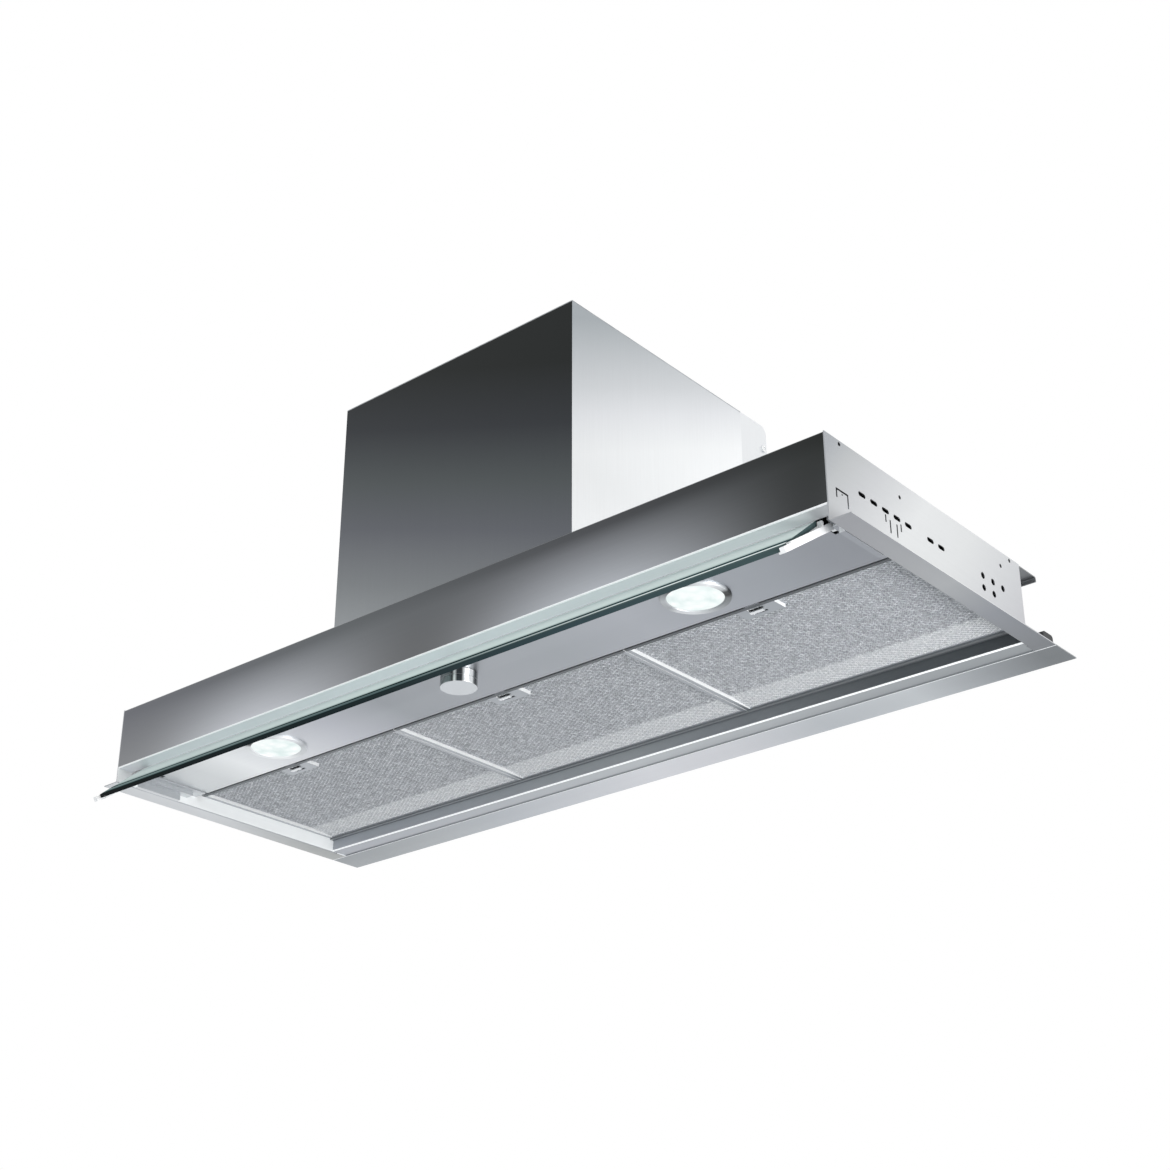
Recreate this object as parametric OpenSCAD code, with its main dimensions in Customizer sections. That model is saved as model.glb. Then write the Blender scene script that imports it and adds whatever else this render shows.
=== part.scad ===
// Integrated range hood for building into a wall unit.
// The body goes up into the cut-out, and the flange round its sides and rear seats on the unit.
// Frame: X to the right, Y to the rear, Z up. The origin lies on the seating face of the flange,
// on the hood's centre line, in the middle of the rear flange strip.
// Distances named "from_front" are measured from the face of the front panel.

/* [Body] */
// Width of the body over its side panels
body_w = 861; // [780:1:1060]
// Depth of the side panels
body_d = 301; // [296:1:330]
// Height of the body above the flange's seating face
body_h = 77.3; // [70:0.1:90]
// Thickness of the body's sheet
sheet_t = 1; // [0.8:0.1:1.2]
// Bend radius at the middle of the sheet
bend_r = 1.5; // [1.2:0.1:2]
// Height of the front panel's lower edge above the seating face
front_lift = 14; // [13:0.5:16]
// Depth of the return lip under the front panel
lip_d = 17; // [15:0.5:19]
// Depth of the return along the front panel's upper edge
top_return_d = 14; // [10:1:24]

/* [Flange] */
// Width of the side flanges
flange_side_w = 19.5; // [15:0.5:30]
// Depth of the rear flange strip
flange_rear_w = 37.2; // [30:0.2:50]
// Depth of the rear wall's foot that shows in front of the rear strip
foot_show = 19.4; // [14:0.2:25]
// Height of the rear strip's folded-up front edge, which the foot meets
strip_edge_h = 6; // [4:0.5:10]
// Length of the side panels behind the rear wall's inner face
side_overhang = 6.5; // [4:0.5:10]
// Length of the spacer blocks on the side flanges
spacer_l = 17; // [12:1:25]
// Width of the spacer blocks
spacer_w = 9; // [6:0.5:12]
// Height of the spacer blocks
spacer_h = 5.6; // [4:0.2:8]

/* [Rear ledge] */
// Reach of the top panel behind the side panels
ledge_d = 32; // [20:1:40]
// Height of the ledge's turned-down lip
ledge_lip_h = 5; // [4:0.5:9]

/* [Side punchings] */
// Distance of the first slot from the front
slot_from_front = 48.6; // [45:0.2:55]
// Pitch of the slots and of the round holes
slot_pitch = 16.8; // [15:0.2:18]
// Length of a slot
slot_l = 10; // [8:0.5:12]
// Width of a slot
slot_w = 4; // [3:0.2:5]
// Height of the row of slots above the seating face
slot_z = 41; // [38:0.5:46]
// Number of slots in the front group
slot_count = 5; // [3:1:5]
// Radius of the round vent holes
vent_r = 3; // [2:0.1:4]
// Distance of the first vent hole from the front
vent_from_front = 233; // [225:1:240]
// Height between the two rows of vent holes
vent_drop = 11.4; // [10:0.2:14]
// Radius of the small rivet holes
rivet_hole_r = 1.8; // [1:0.1:2.5]
// Width of the knock-out cuts
knock_cut = 1.7; // [1:0.1:2]

/* [Motor box] */
// Width of the motor box
box_w = 300; // [290:1:340]
// Height of the motor box
box_h = 261; // [250:1:320]
// Distance of the motor box from the front
box_from_front = 30; // [24:1:40]
// Depth of its rear cover, behind the seam
cover_d = 43.8; // [30:0.2:60]
// Radius of the cover's upper rear corner
cover_corner_r = 9; // [5:0.5:15]
// Width of the frame left round the air inlet in the top panel
inlet_rim = 15; // [14:1:25]

/* [Duct collar] */
// Outer diameter of the spigot that takes the duct
duct_d = 150; // [120:1:152]
// Wall of the collar
collar_wall = 2; // [1.5:0.1:3]
// Height of the spigot
collar_h = 34; // [28:1:45]
// Thickness of the foot ring
collar_foot_t = 2.5; // [2:0.1:4]
// Distance of the collar's axis from the front
collar_from_front = 165; // [155:1:170]
// Thickness of a backdraft flap
flap_t = 1.5; // [1:0.1:2]
// Radius of the flap pin
flap_pin_r = 2; // [1.5:0.1:3]

/* [Fan] */
// Outer radius of the fan wheel
wheel_r = 78; // [70:1:80]
// Radial depth of the blades
blade_depth = 14; // [10:1:16]
// Width of the fan wheel
wheel_w = 100; // [80:1:110]
// Number of blades
blade_count = 36; // [24:1:42]
// Thickness of a blade
blade_t = 1.2; // [1:0.1:1.6]
// Least gap between the wheel and the scroll
tongue_gap = 10; // [8:1:14]
// Growth of the scroll's radius for each quarter turn
scroll_step = 8; // [6:0.5:10]
// Wall of the scroll
scroll_wall = 2; // [1.5:0.1:3]
// Inner width of the scroll
scroll_w = 116; // [106:1:130]
// Depth of the scroll's outlet neck
neck_d = 138; // [125:1:145]
// Radius of the air inlets of the scroll
eye_r = 68; // [64:1:72]
// Height of the scroll above the top panel
scroll_lift = 8; // [4:1:15]

/* [Motor] */
// Outer radius of the motor housing
motor_r = 45; // [38:0.5:48]
// Length of the motor housing in front of its mounting flange
motor_l = 52; // [46:1:54]
// Radius of the motor shaft
shaft_r = 4; // [3:0.1:5]
// Radius of the rotor core
rotor_r = 23.7; // [20:0.1:26]
// Outer radius of the shaft bushes
bush_r = 9; // [7:0.5:11]

/* [Lamp panel] */
// Height of the lamp panel's underside above the seating face
panel_z = 12; // [11:0.5:13]
// Distance of the lamp panel's front edge from the front
panel_from_front = 21.5; // [21:0.5:23]
// Depth of the lamp panel
panel_d = 82.5; // [78:0.5:84]
// Height of its upturned edges
panel_edge_h = 14; // [12:1:18]
// Distance of the lamps from the outer faces of the side panels
lamp_from_side = 172; // [140:0.5:190]
// Distance of the lamps from the front
lamp_from_front = 60; // [56:0.5:64]
// Outer radius of a lamp's ring
ring_r = 30.2; // [28:0.1:34]
// Radius of a lamp's lens
lens_r = 24.2; // [22:0.1:25]
// Depth of a lamp's ring below the panel
ring_drop = 2.5; // [2:0.1:4]
// Height of a lamp's housing above the panel
lamp_cup_h = 24; // [18:1:40]

/* [Knob] */
// Radius of the control knob
knob_r = 17; // [14:0.5:20]
// Height of the control knob
knob_h = 13.3; // [11:0.1:14]
// Distance of the knob's axis from the front
knob_from_front = 49; // [47:0.5:52]
// Width of the groove round the knob
knob_groove = 0.8; // [0.5:0.1:1.2]
// Radius of the spindle
spindle_r = 3; // [2.5:0.1:4]

/* [Visor] */
// Thickness of the glass
glass_t = 4; // [3:0.5:4]
// Length of the glass from its rear edge to its front edge
glass_l = 64.2; // [50:0.2:65]
// Distance from the ends of the glass to the outer faces of the side panels
glass_inset = 22.5; // [20:0.5:30]
// Tilt of the glass below the horizontal
glass_tilt = 40; // [38:1:42]
// Tilt of the end arms
arm_tilt = 34.3; // [33:0.1:35.5]
// Thickness of an end arm, along the hood's width
arm_t = 4.6; // [3:0.2:4.8]
// Height of an end arm
arm_h = 6; // [5:0.2:7]
// Radius of the visor's hinge pins
visor_pin_r = 2.5; // [2:0.1:3]
// Distance of the visor's axis from the front
visor_axis_from_front = 37; // [36:0.5:38]
// Height of the visor's axis above the seating face
visor_axis_z = 17; // [16:0.5:18]

/* [Filters] */
// Number of grease filters
filter_count = 3; // [3:1:3]
// Thickness of a filter cassette
filter_t = 9; // [8:0.5:12]
// Height of the filters' underside above the seating face
filter_z = 13.5; // [13:0.1:15]
// Gap between two filters
filter_gap = 1; // [0.6:0.1:2]
// Width of the filter frame's rim
rim_w = 4; // [3:0.5:6]
// Width of the sloped band along the mesh's rear edge
band_d = 32; // [25:1:40]
// Height that the mesh lies above the rim's underside
mesh_lift = 3.5; // [3.2:0.1:4]
// Thickness of the mesh pad
mesh_t = 3; // [2:0.5:4]
// Width of the latch pocket
pocket_w = 39; // [36:1:60]
// Depth of the latch pocket
pocket_d = 17; // [17:0.5:24]
// Travel of the latch
latch_travel = 4.5; // [3:0.5:4.5]
// Drop of that band towards the rear
band_drop = 2.4; // [0.5:0.1:2.9]
// Depth of the rail that carries the filters at the rear
rail_d = 5; // [4:0.5:6]

/* [Electrics] */
// Length of the connection box
conn_l = 90; // [70:1:120]
// Height of the connection box
conn_h = 64; // [50:1:80]
// Depth of the connection box
conn_d = 30; // [25:1:35]
// Length of the lamp driver
driver_l = 84; // [60:1:110]
// Width of the lamp driver
driver_w = 34; // [28:1:40]
// Height of the lamp driver
driver_h = 22; // [18:1:30]
// Radius of the run capacitor
cap_r = 15; // [12:0.5:18]
// Length of the run capacitor
cap_l = 48; // [40:1:55]
// Radius of the cable hole in the gland
gland_bore_r = 4; // [3:0.1:5]
// Length of the gland above the top plate
gland_h = 16; // [12:1:22]

/* [Hidden] */
$fn = 96;
// Running clearance of a pin or shaft in its hole
run_gap = 0.05;
// Gap between pieces that are assembled loosely
ease = 0.3;
// Overrun of every cut
over = 1;
// Segments of a sheet bend
bend_n = 5;
// Radius and drive length of the screws
screw_r = 1.9;
screw_l = 6;
screw_head_r = 3.6;
screw_head_h = 2.2;
screw_gap = 0.1;

// Places that follow from the driving dimensions
x_out = body_w / 2;
x_in = x_out - sheet_t;
y_strip = -flange_rear_w / 2;
y_wall = y_strip - foot_show;
y_side_end = y_wall + side_overhang;
y_front = y_side_end - body_d;
y_ledge = y_side_end + ledge_d;
y_box = y_front + box_from_front;
// The rear cover ends just behind the ledge and laps over its turned-down lip
y_seam = y_ledge + sheet_t - cover_d;
shell_d = y_seam - y_box;
z_box_top = body_h + box_h;
z_plate = z_box_top - sheet_t;
cover_lap = 0.8 * ledge_lip_h;
cover_tongue_d = 0.5 * cover_d;
y_collar = y_front + collar_from_front;
duct_r = duct_d / 2;

// Half the sheet, for profiles that are given by the middle of the sheet
half = sheet_t / 2;

// Fan centre: the scroll's neck is centred under the collar
scroll_r = wheel_r + tongue_gap;
fan_y = y_collar + scroll_step + scroll_r + 2 * scroll_step - neck_d / 2;
fan_z = body_h + scroll_lift + scroll_wall + scroll_r + scroll_step;
neck_rear = neck_d - scroll_r - 3 * scroll_step;
scroll_side = scroll_w / 2 + scroll_wall;
neck_flange_w = 7;
mouth_t = 3;

// Motor places along the shaft
bracket_t = 2;
motor_wall = 2;
motor_seat_x = scroll_side + bracket_t;
motor_flange_t = 2.5;
motor_ear = 7;
motor_flange_r = motor_r + motor_ear;
motor_x0 = motor_seat_x - motor_l;
cap_plate_x = motor_seat_x + motor_flange_t;
cap_plate_t = 2.5;
bush_l = 9;
rotor_air_gap = 0.6;
stator_l = 36;
rotor_l = 32;
motor_mid_x = (motor_x0 + cap_plate_x) / 2;
hub_r = 10;
hub_l = 14;
disc_t = 2;
shaft_out = 2;
ring_w = 3;
bracket_ring_r = motor_flange_r + sheet_t;
bracket_arm_w = 14;
bracket_foot_r = eye_r + bracket_arm_w;
bracket_screw_r = eye_r + 0.6 * bracket_arm_w;
bracket_turn = 120;

// Visor places
visor_y = y_front + visor_axis_from_front;
lip_y = y_front + lip_d;
glass_half_w = x_out - glass_inset;
// The glass's upper rear corner lies just below the lip and just in front of its edge
glass_below = 0.8;
glass_before = 1.2;
glass_corner_y = lip_y - glass_before + glass_t * sin(glass_tilt);
glass_corner_z = front_lift - glass_below - glass_t * cos(glass_tilt);
glass_side_gap = 0.6;
arm_x = glass_half_w + glass_side_gap;
arm_past_glass = 24;
arm_l = glass_l + arm_past_glass;
arm_cap_l = 12;
arm_tail_r = 5;
arm_tab_d = 2.4;
shelf_w = 4;
shelf_t = 1.8;

// End brackets: three steps that rise towards the lamp panel
bracket_gap = 0.8;
bracket_x = arm_x + arm_t + bracket_gap;
end_bracket_from_front = 22;
end_bracket_l = 78;
end_bracket_drop = sheet_t - ease;
end_bracket_top = 24;
step_zs = [-end_bracket_drop, 6.4, 10.6];
step_w = (x_in - bracket_x) / len(step_zs);
step_back = 12;
arm_slot_z = 7.5;
arm_slot_h = 6.5;
arm_slot_d = 8;
pin_in_l = 9;

// Lamp panel places
panel_y = y_front + panel_from_front;
panel_y2 = panel_y + panel_d;
lamp_x = x_out - lamp_from_side;
lamp_y = y_front + lamp_from_front;
knob_y = y_front + knob_from_front;
panel_half_w = bracket_x - ease;
ring_lap = 3;
ring_sleeve_r = ring_r - ring_lap;
ring_sleeve_t = 1.6;
ring_sleeve_h = 4;
lamp_cup_r = ring_r + ring_lap;

// Filter places
filter_front_gap = 3.3;
filter_y = panel_y2 + filter_front_gap;
filter_y2 = y_wall - rail_d / 2;
filter_d = filter_y2 - filter_y;
filter_side_gap = 0.6;
filter_w = (2 * (x_in - filter_side_gap) - (filter_count - 1) * filter_gap) / filter_count;
filter_pitch = filter_w + filter_gap;
rail_t = 1;
rail_leg_h = 8;
rail_y = y_wall - rail_d;
rail_z = filter_z - ease - rail_t;
filter_skin = 1;
pocket_left_share = 0.62;
pocket_x = -pocket_left_share * pocket_w;
pocket_plate_t = 1;

// Latch: a slider in the pocket's tray. Its grip is bent down out of the slider.
latch_t = 2;
latch_z = filter_z + pocket_plate_t + ease;
latch_nose = 3;
tongue_w = 14;
grip_x = -13;
grip_w = 14;
grip_t = 1.2;
grip_y = rim_w + pocket_d / 3;
grip_foot_d = 2.8;
grip_drop = 2;
slider_side = 2;
slider_y2 = rim_w + pocket_d - pocket_plate_t - latch_travel - filter_skin / 2;

// Switch behind the lamp panel
switch_w = 30;
switch_h = 22;

// Collar and backdraft flaps. The collar's screws also hold the scroll's flange.
collar_screw_r = (scroll_side + neck_flange_w / 2) * sqrt(2);
collar_foot_r = collar_screw_r + 1.4 * screw_head_r;
flap_seat_w = 5;
flap_seat_t = 1.6;
flap_z = z_box_top + collar_foot_t + flap_seat_t + ease;
knuckle_wall = 1.6;
flap_knuckle_r = flap_pin_r + knuckle_wall;
flap_pin_z = flap_z + flap_knuckle_r + ease / 3;
knuckle_l = 18;
knuckle_shares = [-0.62, 0.2];
flap_plate_x = flap_knuckle_r + knuckle_wall / 2;

// Electrics
conn_wall = 2;
conn_x = -box_w / 2 + sheet_t;
conn_y = y_box + 0.2 * shell_d;
conn_drop = 12;
conn_z = z_plate - conn_drop - conn_h;
gland_x = conn_x + conn_d / 2 + conn_wall;
gland_y = conn_y + conn_l / 2;
gland_wall = 3.5;
gland_thread_r = gland_bore_r + gland_wall;
gland_nut_r = gland_thread_r + 0.9 * gland_wall;
gland_nut_h = 6;
gland_in_l = 8;
lid_t = 2;
// The capacitor lies against the scroll's left side, in front of the air inlet
cap_y = fan_y - scroll_r;
cap_z = fan_z + scroll_step + cap_r;
term_shares = [0.5, 0.5, 0.3];

// Lamps and knob
lens_t = 2.4;
lens_flange_t = 1.2;
cup_wall = 2;
cup_rib_n = 7;
knob_top = panel_z - ease;
knob_low = knob_top - knob_h;
knob_edge = 0.8;
spindle_l = 26;

// Extrudes a profile drawn in (y, z) along X
module along_x(x0, length) {
    translate([x0, 0, 0])
        rotate([90, 0, 90])
            linear_extrude(length)
                children();
}

// Extrudes a profile drawn in (x, z) along Y
module along_y(y0, length) {
    translate([0, y0 + length, 0])
        rotate([90, 0, 0])
            linear_extrude(length)
                children();
}

// A round bar along X
module bar_x(r, x0, length, y, z) {
    translate([x0, y, z])
        rotate([0, 90, 0])
            cylinder(r = r, h = length);
}

// A block given by its low corner and its size
module block(low, size) {
    translate(low)
        cube(size);
}

function unit(v) = v / norm(v);
function left_of(d) = [-d[1], d[0]];
function turned(v, a) = [v[0] * cos(a) - v[1] * sin(a), v[0] * sin(a) + v[1] * cos(a)];

// One side of a bent sheet: the line at the signed distance s to the left of the path
function side_line(path, s) = concat(
    [path[0] + left_of(unit(path[1] - path[0])) * s],
    [for (i = [1 : len(path) - 2])
        let (d1 = unit(path[i] - path[i - 1]),
             d2 = unit(path[i + 1] - path[i]),
             way = sign(d1[0] * d2[1] - d1[1] * d2[0]),
             bend = acos(d1 * d2),
             start = path[i] - d1 * bend_r * tan(bend / 2),
             centre = start + left_of(d1) * way * bend_r,
             spoke = unit(start - centre) * (bend_r - way * s))
        for (k = [0 : bend_n])
            centre + turned(spoke, way * bend * k / bend_n)],
    [path[len(path) - 1] + left_of(unit(path[len(path) - 1] - path[len(path) - 2])) * s]
);

// Profile of a bent sheet whose middle follows the path
module sheet_profile(path) {
    left = side_line(path, half);
    right = side_line(path, -half);
    polygon(concat(left, [for (i = [len(right) - 1 : -1 : 0]) right[i]]));
}

// A rectangle with round corners, given by its low corner
module round_rect(low, size, r) {
    translate(low) {
        translate([r, 0])
            square([size[0] - 2 * r, size[1]]);
        translate([0, r])
            square([size[0], size[1] - 2 * r]);
        for (x = [r, size[0] - r])
            for (y = [r, size[1] - r])
                translate([x, y])
                    circle(r);
    }
}

// A slot with round ends, centred
module slot_shape(length, width) {
    square([length - width, width], center = true);
    for (s = [-1, 1])
        translate([s * (length - width) / 2, 0])
            circle(width / 2);
}

module front_panel() {
    color("#8c8f92")
        along_x(-x_in, 2 * x_in)
            sheet_profile([
                [y_front + top_return_d, body_h - half],
                [y_front + half, body_h - half],
                [y_front + half, front_lift + half],
                [lip_y, front_lift + half]
            ]);
}

// Places of the small rivet holes, as shares of the side panel's depth and height
rivet_shares = [[0.068, 0.957], [0.352, 0.812], [0.886, 0.812], [0.943, 0.961]];
// The knock-out's corner and size, as shares of the slot pitch
knock_shares = [0.68, 1.02, 0.5, 1.5];
tongue_shares = [[1.98, 0.4], [2.36, 0.7], [2.95, 0.7], [3.32, 0.4]];

// Everything that is punched out of a side panel, in (y, z) seen along X
module side_punchings() {
    // Slots: the front group, then two more after a gap of one
    for (i = concat([for (k = [0 : slot_count - 1]) k], [slot_count + 1, slot_count + 2]))
        translate([y_front + slot_from_front + i * slot_pitch, slot_z])
            slot_shape(slot_l, slot_w);
    // Vent holes: three above, two below
    for (row = [0, 1])
        for (i = [0 : 2 - row])
            translate([y_front + vent_from_front + i * slot_pitch, slot_z - row * vent_drop])
                circle(vent_r);
    for (place = rivet_shares)
        translate([y_front + place[0] * body_d, place[1] * body_h])
            circle(rivet_hole_r);
    // Knock-out near the front: two legs and a bridge, with a pilot hole
    knock_w = knock_shares[1] * slot_pitch;
    knock_y = y_front + knock_shares[0] * slot_pitch;
    knock_top = slot_z - knock_shares[2] * slot_pitch;
    leg = [for (share = [knock_shares[2], knock_shares[2] + knock_shares[2] / 2]) share * slot_pitch];
    translate([knock_y, knock_top - knock_cut])
        square([knock_w, knock_cut]);
    translate([knock_y, knock_top - leg[0]])
        square([knock_cut, leg[0]]);
    translate([knock_y + knock_w - knock_cut, knock_top - leg[1]])
        square([knock_cut, leg[1]]);
    translate([knock_y + knock_w / 2, knock_top - 2 * knock_cut])
        circle(knock_cut / 2);
    // Clip tongue below the slots: two long cuts and two short ones
    for (cut = tongue_shares)
        translate([y_front + slot_from_front + cut[0] * slot_pitch, slot_z - cut[1] * slot_pitch])
            square([knock_cut, cut[1] * slot_pitch], center = true);
}

// Side panel with its flange, for the side s = -1 or 1
module side_panel(s) {
    color("#c9ccce") {
        difference() {
            along_y(y_front, y_side_end - y_front)
                sheet_profile([
                    [s * (x_out - half), body_h],
                    [s * (x_out - half), -half],
                    [s * (x_out + flange_side_w), -half]
                ]);
            along_x(s > 0 ? x_in - over : -x_out - over, sheet_t + 2 * over)
                side_punchings();
        }
        // The flange runs on to the rear strip
        block([s > 0 ? x_in : -x_out - flange_side_w, y_side_end, -sheet_t],
              [flange_side_w + sheet_t, y_strip - y_side_end, sheet_t]);
    }
}

module side_panel_left() { side_panel(-1); }
module side_panel_right() { side_panel(1); }

module top_panel() {
    color("#b9bcbe")
        difference() {
            along_x(-x_in, 2 * x_in)
                sheet_profile([
                    [y_front + top_return_d, body_h - half],
                    [y_ledge - half, body_h - half],
                    [y_ledge - half, body_h - ledge_lip_h]
                ]);
            // Air inlet under the motor box
            translate([0, 0, body_h - sheet_t - over])
                linear_extrude(sheet_t + 2 * over)
                    round_rect([-box_w / 2 + inlet_rim, y_box + inlet_rim],
                               [box_w - 2 * inlet_rim, shell_d - 2 * inlet_rim], inlet_rim);
            screw_holes("foot");
        }
}

module rear_wall() {
    color("#6f7275")
        along_x(-x_in, 2 * x_in)
            sheet_profile([
                [y_wall + half, body_h - sheet_t],
                [y_wall + half, half],
                [y_strip, half]
            ]);
}

// Rear strip of the flange. Its front edge is folded up between the side panels.
module rear_flange() {
    color("#a9acaf") {
        block([-x_out - flange_side_w, y_strip, -sheet_t],
              [body_w + 2 * flange_side_w, flange_rear_w, sheet_t]);
        block([-x_in, y_strip, -sheet_t], [2 * x_in, sheet_t, sheet_t + strip_edge_h]);
    }
}

// Dark blocks on the side flanges near the rear, rounded on top
module flange_spacers() {
    color("#1d1e20")
        for (s = [-1, 1])
            along_x(s * (x_out + flange_side_w - spacer_w / 2) - spacer_w / 2, spacer_w)
                difference() {
                    round_rect([y_side_end - spacer_l / 2, -spacer_h],
                               [spacer_l, 2 * spacer_h], spacer_h / 2);
                    translate([y_side_end - spacer_l, -2 * spacer_h])
                        square([2 * spacer_l, 2 * spacer_h]);
                }
}

// Bracket between the lamp panel and the side panel. It carries the visor's pin.
module end_bracket(s) {
    color("#9b9ea1")
        difference() {
            // Each step reaches one width further in, and further to the rear
            for (k = [0 : len(step_zs) - 1])
                block([s > 0 ? x_in - (k + 1) * step_w : -x_in,
                       y_front + end_bracket_from_front, step_zs[k]],
                      [(k + 1) * step_w, end_bracket_l - (len(step_zs) - 1 - k) * step_back,
                       end_bracket_top - step_zs[k]]);
            // Dark slot in the front face
            block([s > 0 ? bracket_x - over : -x_in + sheet_t,
                   y_front + end_bracket_from_front - over, arm_slot_z],
                  [x_in - sheet_t - bracket_x + over, arm_slot_d + over, arm_slot_h]);
            // Blind bore for the visor's pin
            bar_x(visor_pin_r + run_gap, s > 0 ? bracket_x - over : -bracket_x - pin_in_l - ease,
                  pin_in_l + ease + over, visor_y, visor_axis_z);
        }
}

module end_bracket_left() { end_bracket(-1); }
module end_bracket_right() { end_bracket(1); }

// Rail along the rear wall on which the filters' rear edges rest
module filter_rear_rail() {
    color("#a4a7aa")
        along_x(-x_in, 2 * x_in) {
            translate([rail_y, rail_z])
                square([rail_d, rail_t]);
            translate([y_wall - rail_t, rail_z])
                square([rail_t, rail_leg_h]);
        }
}

// Screw places: [position, direction that the head points]
screw_groups = [
    ["cover", [for (s = [-1, 1])
        [[s * box_w / 2, y_seam + 0.85 * cover_d, z_box_top - 0.105 * box_h], [s, 0, 0]]]],
    ["bracket", [for (k = [0 : 2])
        [[motor_seat_x, fan_y + bracket_screw_r * sin(k * bracket_turn),
          fan_z + bracket_screw_r * cos(k * bracket_turn)], [1, 0, 0]]]],
    ["collar", [for (k = [0 : 3])
        [[collar_screw_r * cos(45 + 90 * k), y_collar + collar_screw_r * sin(45 + 90 * k),
          z_box_top + collar_foot_t], [0, 0, 1]]]],
    ["foot", [for (s = [-1, 1]) for (share = [0.2, 0.8])
        [[s * (box_w / 2 - inlet_rim / 2), y_box + share * shell_d, body_h + sheet_t], [0, 0, 1]]]]
];

function screw_set(name) = [for (g = screw_groups) if (g[0] == name) each g[1]];

// Turns a piece drawn along +Z to the direction d
module facing(d) {
    if (d[2] == 0)
        rotate([0, 90 * d[0], 0])
            children();
    else
        children();
}

module screw_holes(name) {
    for (place = screw_set(name))
        translate(place[0])
            facing(place[1])
                translate([0, 0, -screw_l - over])
                    cylinder(r = screw_r + screw_gap, h = screw_l + 2 * over);
}

module screws() {
    color("#8a8d90")
        for (g = screw_groups)
            for (place = g[1])
                translate(place[0])
                    facing(place[1])
                        union() {
                            cylinder(r = screw_head_r, h = screw_head_h);
                            translate([0, 0, -screw_l])
                                cylinder(r = screw_r, h = screw_l + screw_head_h / 2);
                        }
}

// Front shell of the motor box: front, two sides, feet, and the tongues that run on inside the cover
module motor_box_shell() {
    w = box_w / 2;
    color("#b3b6b8")
        difference() {
            union() {
                block([-w, y_box, body_h], [box_w, sheet_t, box_h - sheet_t]);
                for (s = [-1, 1]) {
                    block([s > 0 ? w - sheet_t : -w, y_box, body_h], [sheet_t, shell_d, box_h - sheet_t]);
                    block([s > 0 ? w - inlet_rim : -w, y_box, body_h], [inlet_rim, shell_d, sheet_t]);
                    block([s > 0 ? w - 2 * sheet_t : -w + sheet_t, y_seam - cover_tongue_d, body_h + sheet_t],
                          [sheet_t, 1.4 * cover_d, box_h - 3 * sheet_t - cover_corner_r]);
                }
            }
            screw_holes("cover");
            screw_holes("foot");
        }
}

// Rear cover of the motor box with its rounded upper corner
module motor_box_cover() {
    w = box_w / 2;
    color("#aeb1b3")
        difference() {
            along_x(-w, box_w) {
                cover_profile(0);
                translate([y_ledge, body_h - cover_lap])
                    square([sheet_t, cover_lap + over]);
            }
            along_x(-w + sheet_t, box_w - 2 * sheet_t)
                cover_profile(sheet_t);
            screw_holes("cover");
        }
}

// The cover's side outline, drawn in by the distance t at its rear and top
module cover_profile(t) {
    r = cover_corner_r - t;
    front = t > 0 ? over : 0;
    difference() {
        translate([y_seam - front, body_h - front])
            square([cover_d - t + front, box_h - t + front]);
        translate([y_seam + cover_d - cover_corner_r, z_box_top - cover_corner_r])
            square([cover_corner_r + over, cover_corner_r + over]);
    }
    translate([y_seam + cover_d - cover_corner_r, z_box_top - cover_corner_r])
        intersection() {
            circle(r);
            square([cover_corner_r, cover_corner_r]);
        }
}

module motor_box_top() {
    color("#b3b6b8")
        difference() {
            block([-box_w / 2, y_box, z_plate], [box_w, shell_d, sheet_t]);
            translate([0, y_collar, z_plate - over])
                cylinder(r = duct_r - collar_wall - flap_seat_w, h = sheet_t + 2 * over);
            translate([gland_x, gland_y, z_plate - over])
                cylinder(r = gland_thread_r + run_gap, h = sheet_t + 2 * over);
            screw_holes("collar");
        }
}

module duct_collar() {
    color("#3a3c3f")
        difference() {
            translate([0, y_collar, z_box_top])
                rotate_extrude()
                    polygon([
                        [duct_r - collar_wall - flap_seat_w, 0],
                        [collar_foot_r, 0],
                        [collar_foot_r, collar_foot_t],
                        [duct_r, collar_foot_t],
                        [duct_r, collar_foot_t + collar_h],
                        [duct_r - collar_wall, collar_foot_t + collar_h],
                        [duct_r - collar_wall, collar_foot_t + flap_seat_t],
                        [duct_r - collar_wall - flap_seat_w, collar_foot_t + flap_seat_t]
                    ]);
            translate([0, y_collar - duct_r - over, flap_pin_z])
                rotate([-90, 0, 0])
                    cylinder(r = flap_pin_r, h = duct_d + 2 * over);
            screw_holes("collar");
        }
}

module flap_pin() {
    color("#b0b3b5")
        translate([0, y_collar - duct_r + collar_wall / 4, flap_pin_z])
            rotate([-90, 0, 0])
                cylinder(r = flap_pin_r, h = duct_d - collar_wall / 2);
}

// Half-round flap with two knuckles on the pin, for the side s = -1 or 1
module flap(s) {
    r = duct_r - collar_wall - ease;
    color("#4a4d50")
        translate([0, y_collar, 0])
            difference() {
                union() {
                    translate([0, 0, flap_z])
                        linear_extrude(flap_t)
                            intersection() {
                                circle(r);
                                translate([s > 0 ? flap_plate_x : -r - flap_plate_x, -r])
                                    square([r, 2 * r]);
                            }
                    for (share = knuckle_shares) {
                        y0 = s * share * r - knuckle_l / 2;
                        translate([0, y0, flap_pin_z])
                            rotate([-90, 0, 0])
                                cylinder(r = flap_knuckle_r, h = knuckle_l);
                        block([s > 0 ? 0 : -flap_plate_x - sheet_t, y0, flap_z],
                              [flap_plate_x + sheet_t, knuckle_l, flap_t]);
                    }
                }
                translate([0, -duct_r, flap_pin_z])
                    rotate([-90, 0, 0])
                        cylinder(r = flap_pin_r + run_gap, h = duct_d);
            }
}

module flap_left() { flap(-1); }
module flap_right() { flap(1); }

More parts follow.
